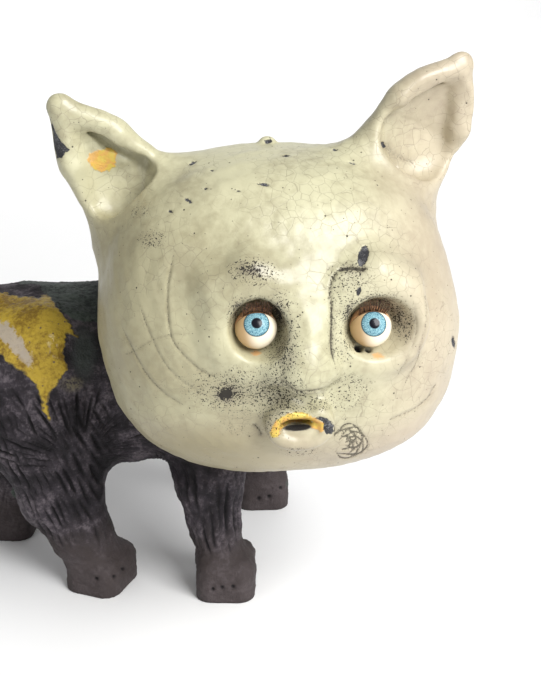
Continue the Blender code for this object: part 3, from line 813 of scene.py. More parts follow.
def wobble(points, length, seed):
    """A soft hand-made unevenness between -1 and 1: the mean of products of waves in turned directions."""
    random = np.random.default_rng(seed)
    total = np.zeros(len(points))
    for _ in range(5):
        one, other = random.normal(size=(2, 3))
        phases = random.uniform(0.0, 2.0 * math.pi, 2)
        scale = 2.0 * math.pi / length / 1.6
        total += np.sin(points @ one * scale + phases[0]) * np.sin(points @ other * scale + phases[1])
    return total / 2.5


def chance(column, row, seed):
    """A fixed random number from 0 to 1 for each whole column and row: the fraction of a steep sine."""
    raw = np.sin(column * 127.1 + row * 311.7 + seed * 74.7) * 43758.5453
    return raw - np.floor(raw)


def tool_strokes(along, across, length, spacing, width, seed):
    """Grooves of a tool laid in columns: one in each cell of the columns, each cell shifted at random.

    A groove is a bell across its width, and rises and falls along its length as the root of a half wave.
    """
    column = np.floor(across / spacing)
    depth = np.zeros(len(along))
    for step in (-1, 0, 1):
        own = column + step
        shifted = along / length + chance(own, 0.0 * own, seed)
        row = np.floor(shifted)
        share = shifted - row
        middle = (own + 0.5 + 0.5 * (chance(own, row, seed + 1) - 0.5)) * spacing
        middle = middle + (chance(own, row, seed + 2) - 0.5) * 0.7 * spacing * (share - 0.5)
        strength = 0.35 + 0.65 * chance(own, row, seed + 3)
        bell = np.exp(-(((across - middle) / width) ** 2))
        depth = np.maximum(depth, strength * bell * np.sqrt(np.sin(math.pi * np.clip(share, 0.0, 1.0))))
    return depth


def scratch_marks(seen):
    """The scratches and lines of painted shade: how deep they are cut, how far inside a line each point
    lies, and how dark it is.

    A line's depth is a bell across it that runs out at both ends.
    """
    carved, line_soot_and_shade = np.zeros(len(seen)), np.zeros(len(seen))
    line = np.full(len(seen), OUTSIDE)
    for half_width, depth, darkness, places in SCRATCHES_AND_SHADE_LINES:
        far, along = distance_to_line(seen, curve_through(places))
        inner = smooth_step(np.minimum(along, 1 - along), 0.0, 0.12)
        carved = np.maximum(carved, depth * (np.exp(-((far / half_width) ** 2)) * inner))
        line = np.maximum(line, half_width * (darkness - 0.4) * inner - far)
        line_soot_and_shade = np.maximum(line_soot_and_shade, darkness * np.exp(-((far / (1.6 * half_width)) ** 2)) * inner)
    for k in range(SWIRL_TURNS):
        angles = np.radians(np.linspace(-170.0 + 11 * (k % 3), 80.0 + 23 * (k % 4), 11))
        arc = np.stack([1.05 * np.cos(angles), 0.95 * np.sin(angles)], axis=1)
        places = np.array(CHIN_SWIRL) + (SWIRL_FIRST + SWIRL_STEP * k) * arc
        places += SWIRL_WAVER * np.sin(angles[:, None] * 2.6 + 1.9 * k + np.array([0.0, 1.7]))
        far, along = distance_to_line(seen, curve_through(places, 3))
        inner = smooth_step(np.minimum(along, 1 - along), 0.0, 0.1)
        mark = np.exp(-((far / SWIRL_LINE["half_width"]) ** 2)) * inner
        carved = np.maximum(carved, SWIRL_LINE["depth"] * mark)
        line = np.maximum(line, SWIRL_LINE["inside"] * inner - far)
    return carved, line, line_soot_and_shade


def smoke_marks(seen):
    """The soot: a bell around each smoked place, and an arc of painted shade in the gap over each eye."""
    smoke_and_socket_shade = np.zeros(len(seen))
    for *oval, strength in SMOKE:
        smoke_and_socket_shade += strength * bell(seen, *oval, SMOKE_STEEPNESS)
    # An arc of painted shade in the gap at the top of each socket.
    for place in EYE_PLACES.values():
        x, y = front_view(place[None, :])[0]
        moved = seen - np.array([x, y - SOCKET_SHADE_ARC["rise"]])
        far = np.sqrt((moved**2).sum(axis=1)) - SOCKET_SHADE_ARC["radius"]
        upper = smooth_step(moved[:, 1], 8.0, -10.0)
        smoke_and_socket_shade += SOCKET_SHADE_ARC["strength"] * np.exp(-((far / SOCKET_SHADE_ARC["half_width"]) ** 2)) * upper
    return smoke_and_socket_shade


def head_marks(points, normals):
    """The head's depths and masks: scratches, chips, smoke, gold, glue, painted light and painted shade."""
    seen = front_view(points)
    facing = seen_from_front(points, normals)
    outside = facing < 0.02
    measures = {"x": seen[:, 0], "y": seen[:, 1]}
    carved, line, line_soot_and_shade = scratch_marks(seen)
    # Painted shade in each ear's crease, kept with the darkness of the lines.
    for ear in EARS.values():
        crease = ear_clay(points, ear)[3]
        outer = np.maximum(crease + EAR_SHADE_CORE, 0.0) / EAR_SHADE_FADE
        line_soot_and_shade = np.maximum(line_soot_and_shade, ear["line_soot_and_shade"] * np.exp(-(outer**2)))
    chips = np.maximum(ovals_depth(seen, CHIPS), outline_depth(seen, EAR_CHIP))
    lip, _ = distance_to_line(seen, curve_through(GOLD_LIP))
    gold = np.maximum(ovals_depth(seen, GOLD), GOLD_LIP_HALF_WIDTH - lip)
    chips[outside] = OUTSIDE
    gold[outside] = OUTSIDE
    holes = pricked(seen, EYE_HOLES, 1.15, 0.6)
    # The mouth's opening joins the holes, to be painted black as its shade.
    slit = smooth_step(oval_depth(seen, *MOUTH_SLIT), -1.0, 1.0)
    carved += 0.5 * smooth_step(chips, -0.8, 0.8) + 3.5 * holes
    carved = carved * facing - 0.35 * wobble(points, 34.0, 3) - 0.12 * wobble(points, 11.0, 4)
    # Painted warm reflected light to the right of the head and along its chin.
    warm_light = within(measures, WARM_LIGHT_SIDE) * 0.7 + within(measures, WARM_LIGHT_CHIN) * 0.6
    return carved, {
        "scratched_and_shaded": np.where(outside, OUTSIDE, line),
        "line_soot_and_shade": line_soot_and_shade * facing,
        "smoke_and_socket_shade": smoke_marks(seen) * facing,
        "chips": chips,
        "gold": gold,
        "glue": np.where(outside, OUTSIDE, ovals_depth(seen, EYE_GLUE)),
        "holes": np.maximum(holes, slit) * facing,
        "warm_light": np.clip(warm_light, 0.0, 1.0),
        # Painted shade over the left side of the head and over its lower jaw.
        "painted_shade": np.maximum(within(measures, PAINTED_SHADE_SIDE), within(measures, PAINTED_SHADE_JAW) * 1.7),
    }


def fur_strokes(points, normals):
    """The grooves of all the families of fur, from 0 to 1.

    The fan's strokes run out from its centre, the haunch's slant down and back, and the others run
    down the clay, side by side around it.
    """
    x, _, z = points.T
    out_x, out_z = x - FAN_CENTRE[0], z - FAN_CENTRE[1]
    radius = np.sqrt(out_x**2 + out_z**2) + 1e-6
    turn = np.arctan2(normals[:, 1], normals[:, 0])
    paths = {
        "fan": (radius, np.arctan2(out_x, out_z) * FAN_RADIUS),
        "haunch": (HAUNCH_SLANT * x - z, x + HAUNCH_SLANT * z),
        "shins": (z, turn * SHIN_RADIUS),
        "rump": (z, turn * TRUNK_RADIUS),
        "chest": (z, turn * TRUNK_RADIUS),
    }
    measures = {"x": x, "z": z, "radius": radius, "side": np.abs(normals[:, 1])}
    fur = np.zeros(len(points))
    for name, family in FUR.items():
        along, across = paths[name]
        grooves = tool_strokes(along, across + FIRST_COLUMN, *family["stroke"], family["seed"])
        fur = np.maximum(fur, family["depth"] * grooves * within(measures, family["limits"]))
    return fur


def body_marks(points, normals):
    """The body's depths and masks: carved fur, toe holes and the three glazes of the flank."""
    seen = front_view(points)
    front = seen_from_front(points, normals)
    _, y, z = points.T
    facing = front * smooth_step(y, 30.0, 5.0)
    toes = pricked(seen, [(*place, TOE_HOLE_RADIUS) for place in TOE_HOLES], 1.1, 0.3) * front
    yellow = outline_depth(seen, YELLOW_PATCH) + 2.2 * wobble(points, 5.0, 8)
    pale = outline_depth(seen, PALE_PATCH) + 2.0 * wobble(points, 4.0, 9)
    green = outline_depth(seen, GREEN_PATCH) + 1.5 * wobble(points, 6.0, 10)
    across = wobble(points, 60.0, 14) * 14.0 + smooth_step(z, 128.0, 150.0) * 10.0 - 9.0
    green = np.where(y > 18.0, across, green)
    for mask in (yellow, pale):
        mask[(facing < 0.02) | (y > 10.0)] = OUTSIDE
    fur = fur_strokes(points, normals) * (1.0 - smooth_step(np.maximum(yellow, green), -1.0, 1.0))
    carved = FUR_DEPTH * fur + TOE_HOLE_DEPTH * toes - 0.6 * wobble(points, 30.0, 6)
    carved -= 0.25 * wobble(points, 8.0, 7) + 0.22 * wobble(points, 3.4, 17)
    carved -= 0.5 * smooth_step(yellow, -1.0, 2.0) + 0.3 * smooth_step(green, -1.0, 1.5)
    carved *= smooth_step(z, 1.0, 5.0)
    return carved, {
        "fur": fur,
        "toes": toes,
        "yellow": yellow,
        "pale": pale,
        "green": green,
        "sheen": bell(seen, *SHEEN) * facing,
        "bloom": bell(seen, *BLOOM) * facing,
    }


def new_piece(name, mesh, finish, slot, *nodes):
    """The mesh as a piece of the cat, at the origin, with its finish, standing for CAD nodes."""
    mesh.materials.append(finish)
    mesh.shade_smooth()
    piece = bpy.data.objects.new(name, mesh)
    bpy.context.collection.objects.link(piece)
    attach(piece, "root")
    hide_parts(*nodes)
    return piece


def mesh_of(name, points, faces):
    """A mesh of points in millimetres of the layout, moved to their place in the frame."""
    mesh = bpy.data.meshes.new(name)
    places = (np.asarray(points) * MM + LAYOUT_SHIFT).astype(np.float32)
    faces = np.asarray(faces, np.int32)
    mesh.vertices.add(len(places))
    mesh.vertices.foreach_set("co", places.ravel())
    mesh.loops.add(faces.size)
    mesh.loops.foreach_set("vertex_index", faces.ravel())
    mesh.polygons.add(len(faces))
    mesh.polygons.foreach_set("loop_start", np.arange(0, faces.size, faces.shape[1], dtype=np.int32))
    mesh.update(calc_edges=True)
    mesh.validate()
    return mesh


def carved_skin(name, shape, low, high, marks):
    """A skin meshed, carved by its marks, and thinned where it is plain. Its masks stay as attributes."""
    points, slope, quads = skin_of(shape, low, high, SKIN_STEP)
    normals = slope / (np.sqrt((slope**2).sum(axis=1))[:, None] + 1e-9)
    carved, masks = marks(points, normals)
    mesh = mesh_of(name, points - carved[:, None] * normals, quads)
    for mask_name, values in masks.items():
        attribute = mesh.attributes.new(mask_name, "FLOAT", "POINT")
        attribute.data.foreach_set("value", values.astype(np.float32))
    rough = bpy.data.objects.new(name, mesh)
    bpy.context.collection.objects.link(rough)
    thinned = rough.modifiers.new("thinned", "DECIMATE")
    thinned.ratio = min(1.0, SKIN_TRIANGLES / (2.0 * len(quads)))
    graph = bpy.context.evaluated_depsgraph_get()
    whole = bpy.data.meshes.new_from_object(rough.evaluated_get(graph))
    whole.name = name
    bpy.data.objects.remove(rough)
    bpy.data.meshes.remove(mesh)
    return whole


class Value:
    """An output of a node, so that sums with it can be written as Python."""

    def __init__(self, finish, socket):
        self.finish = finish
        self.socket = socket

    def _maths(self, operation, first, second):
        return self.finish.node("ShaderNodeMath", {"operation": operation}, {0: first, 1: second})

    def __add__(self, other):
        return self._maths("ADD", self, other)

    def __radd__(self, other):
        return self._maths("ADD", other, self)

    def __sub__(self, other):
        return self._maths("SUBTRACT", self, other)

    def __rsub__(self, other):
        return self._maths("SUBTRACT", other, self)

    def __mul__(self, other):
        return self._maths("MULTIPLY", self, other)

    def __rmul__(self, other):
        return self._maths("MULTIPLY", other, self)

    def bigger(self, other):
        return self._maths("MAXIMUM", self, other)

    def smaller(self, other):
        return self._maths("MINIMUM", self, other)

    def between(self, start, end):
        """Zero at start, one at end, with a soft step between them."""
        ends = {"Value": self, "From Min": start, "From Max": end}
        return self.finish.node("ShaderNodeMapRange", {"interpolation_type": "SMOOTHSTEP"}, ends)


class Finish:
    """A material that is built from nodes, with its own principled shader."""

    def __init__(self, name, **plain):
        self.material = bpy.data.materials.new(name)
        self.material.use_nodes = True
        self.tree = self.material.node_tree
        self.shader = self.tree.nodes["Principled BSDF"]
        for socket, value in plain.items():
            self.shader.inputs[socket.replace("_", " ")].default_value = value

    def node(self, kind, settings=None, sockets=None, output=0):
        """A node with its settings, then the values or links of its sockets."""
        made = self.tree.nodes.new(kind)
        for setting, value in (settings or {}).items():
            setattr(made, setting, value)
        for socket, value in (sockets or {}).items():
            if isinstance(value, Value):
                self.tree.links.new(value.socket, made.inputs[socket])
            else:
                made.inputs[socket].default_value = value
        return Value(self, made.outputs[output])

    def vector(self, operation, sockets, output="Vector"):
        """A sum with vectors."""
        return self.node("ShaderNodeVectorMath", {"operation": operation}, sockets, output)

    def mask(self, name):
        """One of the masks that the mesh carries on its points."""
        return self.node("ShaderNodeAttribute", {"attribute_name": name}, output="Fac")

    def place(self):
        """The point's own place on the cat, in metres."""
        return self.node("ShaderNodeTexCoord", output="Object")

    def noise(self, size, detail=3.0, roughness=0.55):
        """Cloudy noise around a half, whose clouds are about size across, in metres."""
        sockets = {"Vector": self.place(), "Scale": 1.0 / size, "Detail": detail, "Roughness": roughness}
        return self.node("ShaderNodeTexNoise", None, sockets)

    def mix(self, first, second, share):
        """One colour going over to another by a share."""
        settings = {"data_type": "RGBA", "clamp_factor": True}
        sockets = {0: share, 6: as_colour(first), 7: as_colour(second)}
        return self.node("ShaderNodeMix", settings, sockets, output=2)

    def stirred(self, size, reach):
        """The place, pushed about by noise of some size, so that lines read there waver."""
        sockets = {"Vector": self.place(), "Scale": 1.0 / size, "Detail": 2.0}
        cloud = self.node("ShaderNodeTexNoise", None, sockets, output="Color")
        centred = self.vector("SUBTRACT", {0: cloud, 1: (0.5, 0.5, 0.5)})
        push = self.vector("SCALE", {0: centred, "Scale": reach})
        return self.vector("ADD", {0: self.place(), 1: push})

    def cracks(self, size, width, stir):
        """One on the borders of stirred cells of some size, falling to zero a width away."""
        sockets = {"Vector": self.stirred(size * 1.3, stir), "Scale": 1.0 / size}
        edge = self.node("ShaderNodeTexVoronoi", {"feature": "DISTANCE_TO_EDGE"}, sockets)
        return 1.0 - edge.between(0.0, width / size)

    def specks(self, size, radius, share):
        """One in round specks of up to a radius, in some share of the cells of a size."""
        cells = {"Vector": self.place(), "Scale": 1.0 / size}
        far = self.node("ShaderNodeTexVoronoi", None, cells)
        colour = self.node("ShaderNodeTexVoronoi", None, cells, output="Color")
        kind = self.node("ShaderNodeSeparateColor", None, {"Color": colour})
        there = kind.between(1.0 - share, 1.0)
        return 1.0 - (far - there * (radius / size)).between(-0.02, 0.03)

    def paint(self, socket, value):
        """Feeds one of the shader's sockets that may change over the surface."""
        self.tree.links.new(value.socket, self.shader.inputs[socket])

    def bump(self, height, distance, strength=1.0):
        """A height in shares of a distance, in metres, felt by the shader's normal."""
        sockets = {"Height": height, "Distance": distance, "Strength": strength}
        self.paint("Normal", self.node("ShaderNodeBump", None, sockets))


def as_colour(colour):
    """A colour as a socket takes it: a link as it is, and three numbers with a fourth for alpha."""
    return colour if isinstance(colour, Value) else (*colour, 1.0)


def crackle_glaze():
    """Cream raku glaze: crackle drawn by smoke, pinholes, soot, chips to black clay and gold lustre.

    On it lie painted warm reflected light to the right and along the chin, and painted shade to the left
    and below, in the ears' creases, in the sockets' gaps, under the nose and in the mouth's opening.
    """
    finish = Finish("crackle_glaze", Coat_Roughness=0.16)
    cream, ivory, warm_light_cream = (0.46, 0.44, 0.29), (0.31, 0.285, 0.18), (0.44, 0.35, 0.275)
    soot_and_shade_black, gold, deep_gold = (0.008, 0.006, 0.005), (0.58, 0.43, 0.08), (0.62, 0.33, 0.07)
    clouds = finish.noise(0.045, 4.0)
    patches = finish.noise(0.004, 3.0)
    fine = finish.noise(0.0012, 2.0)
    dust = finish.noise(0.0006, 2.0)
    colour = finish.mix(ivory, cream, (clouds * 0.7 + patches * 0.3).between(0.36, 0.60))
    # Painted warm reflected light: a pinkish cream to the right and along the chin.
    colour = finish.mix(colour, warm_light_cream, finish.mask("warm_light") * 0.8)
    # Painted shade: the glaze is darker and browner to the left and over the lower jaw.
    colour = finish.mix(colour, (0.25, 0.215, 0.115), finish.mask("painted_shade") * 0.55)
    crackle = finish.cracks(0.011, 0.00018, 0.004) * finish.noise(0.02).between(0.44, 0.64)
    small_crackle = finish.cracks(0.0050, 0.00016, 0.002) * finish.noise(0.03).between(0.42, 0.58)
    lines = (crackle * 0.16).bigger(small_crackle * 0.42)
    colour = finish.mix(colour, (0.13, 0.105, 0.07), lines)
    # The lines' soot, and painted shade in the ears' creases and under the nose.
    line_soot_and_shade = finish.mask("line_soot_and_shade") * (0.35 + fine.between(0.35, 0.6) * 0.65)
    colour = finish.mix(colour, (0.055, 0.040, 0.024), line_soot_and_shade.smaller(0.85))
    # Smoke, and the painted shade in the sockets' gaps, darken the glaze under a brown veil.
    smoke_and_socket_shade = finish.mask("smoke_and_socket_shade")
    veil = smoke_and_socket_shade.between(0.02, 1.0) * (0.25 + patches.between(0.35, 0.65) * 0.5)
    colour = finish.mix(colour, (0.16, 0.135, 0.095), veil)
    grains = (dust * 0.55 + fine * 0.45 + smoke_and_socket_shade * 0.13).between(0.605, 0.655)
    speckle = (grains * smoke_and_socket_shade.between(0.05, 0.2)).bigger((smoke_and_socket_shade + fine + patches).between(2.05, 2.25))
    pins = finish.specks(0.0042, 0.0004, 0.5).bigger(finish.specks(0.0019, 0.00024, 0.45) * 0.8)
    # Scratches, and the lines of painted shade under the nose and along the left ear's base, go dark.
    scratches_and_shade = (finish.mask("scratched_and_shaded") + (dust - 0.5) * 2.0).between(-0.8, 0.2)
    black = speckle.bigger(pins * 0.9).bigger(scratches_and_shade * 0.8)
    colour = finish.mix(colour, soot_and_shade_black, black * 0.95)
    glue = (finish.mask("glue") + (fine - 0.5) * 5.0).between(-0.5, 2.0)
    colour = finish.mix(colour, (0.62, 0.34, 0.13), glue * 0.8)
    lustre = (finish.mask("gold") + (fine - 0.5) * 6.0).between(-0.6, 1.4)
    gold_colour = finish.mix(deep_gold, gold, patches.between(0.40, 0.60))
    dots = (dust * 0.6 + fine * 0.4).between(0.56, 0.63) * smoke_and_socket_shade.between(0.02, 0.15)
    gold_colour = finish.mix(gold_colour, (0.035, 0.025, 0.015), dots)
    colour = finish.mix(colour, gold_colour, lustre * (0.8 + patches.between(0.35, 0.5) * 0.2))
    bare = (finish.mask("chips") + (fine - 0.5) * 3.0).between(-0.2, 0.5).bigger(finish.mask("holes"))
    dusty = (dust * 0.5 + patches * 0.5).between(0.46, 0.62)
    colour = finish.mix(colour, finish.mix((0.022, 0.022, 0.025), (0.13, 0.13, 0.135), dusty), bare)
    # Painted shade: the bare clay inside the mouth's opening and the pricked holes goes on to black.
    colour = finish.mix(colour, soot_and_shade_black, finish.mask("holes").between(0.3, 0.9))
    finish.paint("Base Color", colour)
    rough = 0.38 + clouds.between(0.3, 0.7) * 0.12 + black * 0.5 + bare * 0.5 + lustre * 0.1 + line_soot_and_shade * 0.3
    finish.paint("Roughness", rough.smaller(0.9))
    finish.paint("Metallic", lustre * 0.2)
    finish.paint("Coat Weight", (1.0 - bare.bigger(black)) * 0.13)
    height = clouds * 0.15 + patches * 0.08 + fine * 0.09 + lustre * fine * 0.5
    sunk = lines * 0.25 + black * 0.35 + bare * (0.5 + dust * 0.6)
    finish.bump(height - sunk, 0.0007, 0.8)
    return finish.material


def smoked_clay():
    """Dark smoked clay with three glazes on it.

    Lighter grey patches are painted glints of light; the tool's grooves and the toe holes are darkened as
    painted shade.
    """
    finish = Finish("smoked_clay", Roughness=0.6, Specular_IOR_Level=0.2)
    black, smoke_grey = (0.006, 0.005, 0.006), (0.040, 0.033, 0.040)
    glint_grey, brown = (0.150, 0.128, 0.140), (0.056, 0.044, 0.042)
    clouds = finish.noise(0.018, 5.0, 0.6)
    grain = finish.noise(0.0022, 4.0, 0.7)
    grit = finish.noise(0.0008, 2.0)
    above = finish.node("ShaderNodeSeparateXYZ", None, {0: finish.place()}, output="Z")
    colour = finish.mix(black, smoke_grey, clouds.between(0.28, 0.62))
    # Painted glints: lighter grey patches spread by the noise.
    colour = finish.mix(colour, glint_grey, (grain * clouds).between(0.22, 0.40) * 0.7)
    low = 1.0 - (above + (clouds - 0.5) * 0.03).between(0.018, 0.052)
    colour = finish.mix(colour, brown, low * 0.75)
    # Painted shade in the tool's grooves and in the toe holes.
    grooves = (finish.mask("fur") * 0.95).bigger(finish.mask("toes") * 0.6)
    colour = finish.mix(colour, black, grooves.between(0.1, 0.7))
    colour = finish.mix(colour, (0.050, 0.058, 0.054), finish.mask("sheen").between(0.2, 0.9) * 0.8)
    bloom = finish.mask("bloom").between(0.25, 0.9) * grain.between(0.35, 0.6)
    colour = finish.mix(colour, (0.15, 0.13, 0.085), bloom)
    green = (finish.mask("green") + (grain - 0.5) * 3.0).between(-0.4, 0.8)
    mottled = (clouds * 0.5 + grain * 0.5).between(0.42, 0.62)
    green_colour = finish.mix((0.010, 0.015, 0.013), (0.075, 0.092, 0.078), mottled)
    colour = finish.mix(colour, green_colour, green)
    edge = finish.mask("yellow") + (grain - 0.5) * 3.0
    yellow = edge.between(-0.3, 0.5)
    streaky = (clouds * 0.55 + grain * 0.45).between(0.38, 0.58)
    yellow_colour = finish.mix((0.19, 0.11, 0.012), (0.46, 0.32, 0.035), streaky)
    yellow_colour = finish.mix((0.10, 0.075, 0.03), yellow_colour, edge.between(0.2, 2.4))
    yellow_colour = finish.mix(yellow_colour, (0.16, 0.11, 0.05), finish.specks(0.003, 0.0007, 0.45))
    pale = (finish.mask("pale") + (grain - 0.5) * 16.0).between(-0.5, 3.0) * clouds.between(0.3, 0.5)
    yellow_colour = finish.mix(yellow_colour, (0.40, 0.35, 0.30), pale * 0.85)
    colour = finish.mix(colour, yellow_colour, yellow)
    finish.paint("Base Color", colour)
    smooth = yellow * 0.22 + green * 0.12 + finish.mask("sheen") * 0.15
    finish.paint("Roughness", 0.55 + grain * 0.25 - smooth)
    finish.paint("Coat Weight", yellow * 0.15)
    finish.bump(clouds * 0.5 + grain * 0.45 + grit * 0.18, 0.0018, 0.9)
    return finish.material


def eye_acrylic(side):
    """A doll's eye: a printed iris around the gaze, a cream ball, and a peach lid above a dark edge.

    The ball is painted tan to its left as shade and reflected light, and cream where the light falls.
    """
    plain = {"Coat_Weight": 0.03, "Coat_Roughness": 0.1, "Specular_IOR_Level": 0.22}
    finish = Finish(side + "_eye_acrylic", **plain)
    centre = EYE_PLACES[side] * MM + LAYOUT_SHIFT
    gaze, across, up = gaze_axes(side)
    from_centre = finish.vector("SUBTRACT", {0: finish.place(), 1: tuple(centre)})
    out = finish.vector("NORMALIZE", {0: from_centre})

    def along(axis):
        return finish.vector("DOT_PRODUCT", {0: out, 1: tuple(axis)}, output="Value")

    ahead, right, above = along(gaze), along(across), along(up)
    spread = finish.node("ShaderNodeMath", {"operation": "ARCCOSINE"}, {0: ahead.smaller(0.9999)})
    turn = finish.node("ShaderNodeMath", {"operation": "ARCTAN2"}, {0: right, 1: above})
    ring = finish.node("ShaderNodeCombineXYZ", None, {0: turn * 9.0, 1: spread * 5.0})
    sockets = {"Vector": ring, "Scale": 1.6, "Detail": 3.0, "Roughness": 0.7}
    streaks = finish.node("ShaderNodeTexNoise", None, sockets)
    level = along((0.0, 0.0, 1.0))
    forward = along((0.0, -1.0, 0.0))
    lid_height = finish.node("ShaderNodeMath", {"operation": "ARCTAN2"}, {0: level, 1: forward})
    # Painted shade and warm reflected light: tan on the ball's left, cream on its right where the light
    # falls.
    painted_light = along((0.8, -0.55, 0.1)).between(-0.15, 0.55)
    cream = finish.mix((0.52, 0.35, 0.18), (0.80, 0.72, 0.56), painted_light)
    pale_blue, deep_blue = (0.27, 0.47, 0.52), (0.03, 0.115, 0.17)
    iris = finish.mix(deep_blue, pale_blue, (streaks - spread * 0.12).between(0.34, 0.54))
    iris = finish.mix(iris, (0.02, 0.06, 0.08), spread.between(IRIS_SPREAD - 0.10, IRIS_SPREAD - 0.01))
    iris = finish.mix((0.006, 0.006, 0.010), iris, spread.between(PUPIL_SPREAD - 0.03, PUPIL_SPREAD + 0.02))
    colour = finish.mix(iris, cream, spread.between(IRIS_SPREAD - 0.02, IRIS_SPREAD + 0.03))
    lid = lid_height.between(LID_HEIGHT - 0.01, LID_HEIGHT + 0.02)
    edge = lid_height.between(LID_HEIGHT - 0.07, LID_HEIGHT - 0.03)
    colour = finish.mix(colour, (0.05, 0.025, 0.015), edge)
    colour = finish.mix(colour, (0.58, 0.32, 0.17), lid)
    finish.paint("Base Color", colour)
    finish.paint("Roughness", 0.2 + lid * 0.3)
    return finish.material


def lash_fibre(side):
    """Brown nylon hairs, dark and pale ones side by side."""
    finish = Finish(side + "_lash_fibre", Roughness=0.42)
    streak = finish.noise(0.0006, 1.0)
    brown = finish.mix((0.022, 0.009, 0.004), (0.22, 0.10, 0.05), streak.between(0.46, 0.66))
    finish.paint("Base Color", brown)
    return finish.material


def gaze_axes(side):
    """The eye's gaze, and the axes across it and above it."""
    turn, rise = (math.radians(angle) for angle in EYE_GAZES[side])
    gaze = np.array([math.sin(turn) * math.cos(rise), -math.cos(turn) * math.cos(rise), math.sin(rise)])
    across = np.cross(gaze, [0.0, 0.0, 1.0])
    across /= np.sqrt(across @ across)
    return gaze, -across, np.cross(across, gaze)


def make_eye(side):
    """An eyeball: a ball around its gaze, whose radius rises over the iris by a bell of the angle."""
    gaze, across, up = gaze_axes(side)
    spread = np.linspace(0.0, math.pi, EYE_ROWS + 1)[1:-1]
    turn = np.linspace(0.0, 2.0 * math.pi, EYE_COLUMNS, endpoint=False)
    angle, around = np.meshgrid(spread, turn, indexing="ij")
    back = EYE_RADIUS - EYE_INSIDE
    radius = back + CORNEA_RISE * np.exp(-((angle / IRIS_SPREAD) ** 4))
    ring = np.cos(around)[..., None] * across + np.sin(around)[..., None] * up
    points = radius[..., None] * (np.cos(angle)[..., None] * gaze + np.sin(angle)[..., None] * ring)
    poles = np.stack([gaze * (back + CORNEA_RISE), -gaze * back])
    points = np.concatenate([points.reshape(-1, 3), poles]) + EYE_PLACES[side]
    rows, columns = angle.shape
    index = np.arange(rows * columns).reshape(rows, columns)
    after = np.roll(index, -1, axis=1)
    quads = np.stack([index[:-1], index[1:], after[1:], after[:-1]], axis=-1).reshape(-1, 4)
    first = np.stack([np.full(columns, rows * columns), index[0], after[0], after[0]], axis=-1)
    last = np.stack([np.full(columns, rows * columns + 1), after[-1], index[-1], index[-1]], axis=-1)
    mesh = bpy.data.meshes.new(side + "_eyeball")
    faces = [tuple(face) for face in quads.tolist()]
    faces += [tuple(face[:3]) for face in first.tolist() + last.tolist()]
    mesh.from_pydata((points * MM + LAYOUT_SHIFT).tolist(), [], faces)
    outward(mesh)
    return new_piece(side + "_eyeball", mesh, eye_acrylic(side), "eye_acrylic", side + "_eye")


def outward(mesh):
    """Turns the faces of a closed mesh to the outside."""
    form = bmesh.new()
    form.from_mesh(mesh)
    bmesh.ops.recalc_face_normals(form, faces=form.faces[:])
    form.to_mesh(mesh)
    form.free()


def make_lashes(side):
    """A row of hairs on the lid's edge: each is a thin three-sided rod along a gently bent path.

    A hair's foot is on the ball, at an angle across the lid. Its path is the foot plus its lean times
    the length so far, plus a little upward bend that grows with the square of that length.
    """
    random = np.random.default_rng(LASH_SEEDS[side])
    angles = np.linspace(-LASH_SPAN, LASH_SPAN, LASH_COUNT) + random.normal(0.0, 0.006, LASH_COUNT)
    rightwards = np.array([1.0, 0.0, 0.0])
    lid = np.array([0.0, -math.cos(LID_HEIGHT + 0.03), math.sin(LID_HEIGHT + 0.03)])
    lean = np.array([0.0, -math.cos(LASH_LEAN), math.sin(LASH_LEAN)])
    foot = (EYE_RADIUS - 0.05) * (np.sin(angles)[:, None] * rightwards + np.cos(angles)[:, None] * lid)
    reach = LASH_LENGTH * random.uniform(0.80, 1.0, LASH_COUNT) * (0.85 + 0.15 * np.cos(2.0 * angles))
    sideways = np.sin(angles) * 0.10 + random.normal(0.0, 0.03, LASH_COUNT)
    if side == "left":
        sideways += 0.32 * smooth_step(angles, 0.1, 0.75)
        reach *= 1.0 - 0.15 * smooth_step(angles, 0.5, 0.75)
    share = np.linspace(0.0, 1.0, LASH_RINGS)
    grown = share * reach[:, None]
    path = (
        foot[:, None, :]
        + grown[..., None] * lean
        + (grown * sideways[:, None])[..., None] * rightwards
        + (0.08 * grown**2 / 6.0)[..., None] * [0.0, 0.6, 0.8]
    )
    radius = LASH_RADIUS * (1.0 - 0.65 * share**2)
    corners = np.linspace(0.0, 2.0 * math.pi, LASH_SIDES, endpoint=False)
    behind = np.cross(rightwards, lean)
    ring = np.cos(corners)[:, None] * rightwards + np.sin(corners)[:, None] * behind
    points = path[:, :, None, :] + radius[None, :, None, None] * ring[None, None, :, :]
    index = np.arange(LASH_COUNT * LASH_RINGS * LASH_SIDES).reshape(LASH_COUNT, LASH_RINGS, LASH_SIDES)
    after = np.roll(index, -1, axis=2)
    walls = np.stack([index[:, :-1], after[:, :-1], after[:, 1:], index[:, 1:]], axis=-1)
    walls = walls.reshape(-1, 4).tolist()
    ends = index[:, 0, ::-1].tolist() + index[:, -1].tolist()
    mesh = bpy.data.meshes.new(side + "_lash_hairs")
    places = (points.reshape(-1, 3) + EYE_PLACES[side]) * MM + LAYOUT_SHIFT
    mesh.from_pydata(places.tolist(), [], [tuple(face) for face in walls + ends])
    outward(mesh)
    return new_piece(side + "_lash_hairs", mesh, lash_fibre(side), "lash_fibre", side + "_lashes")


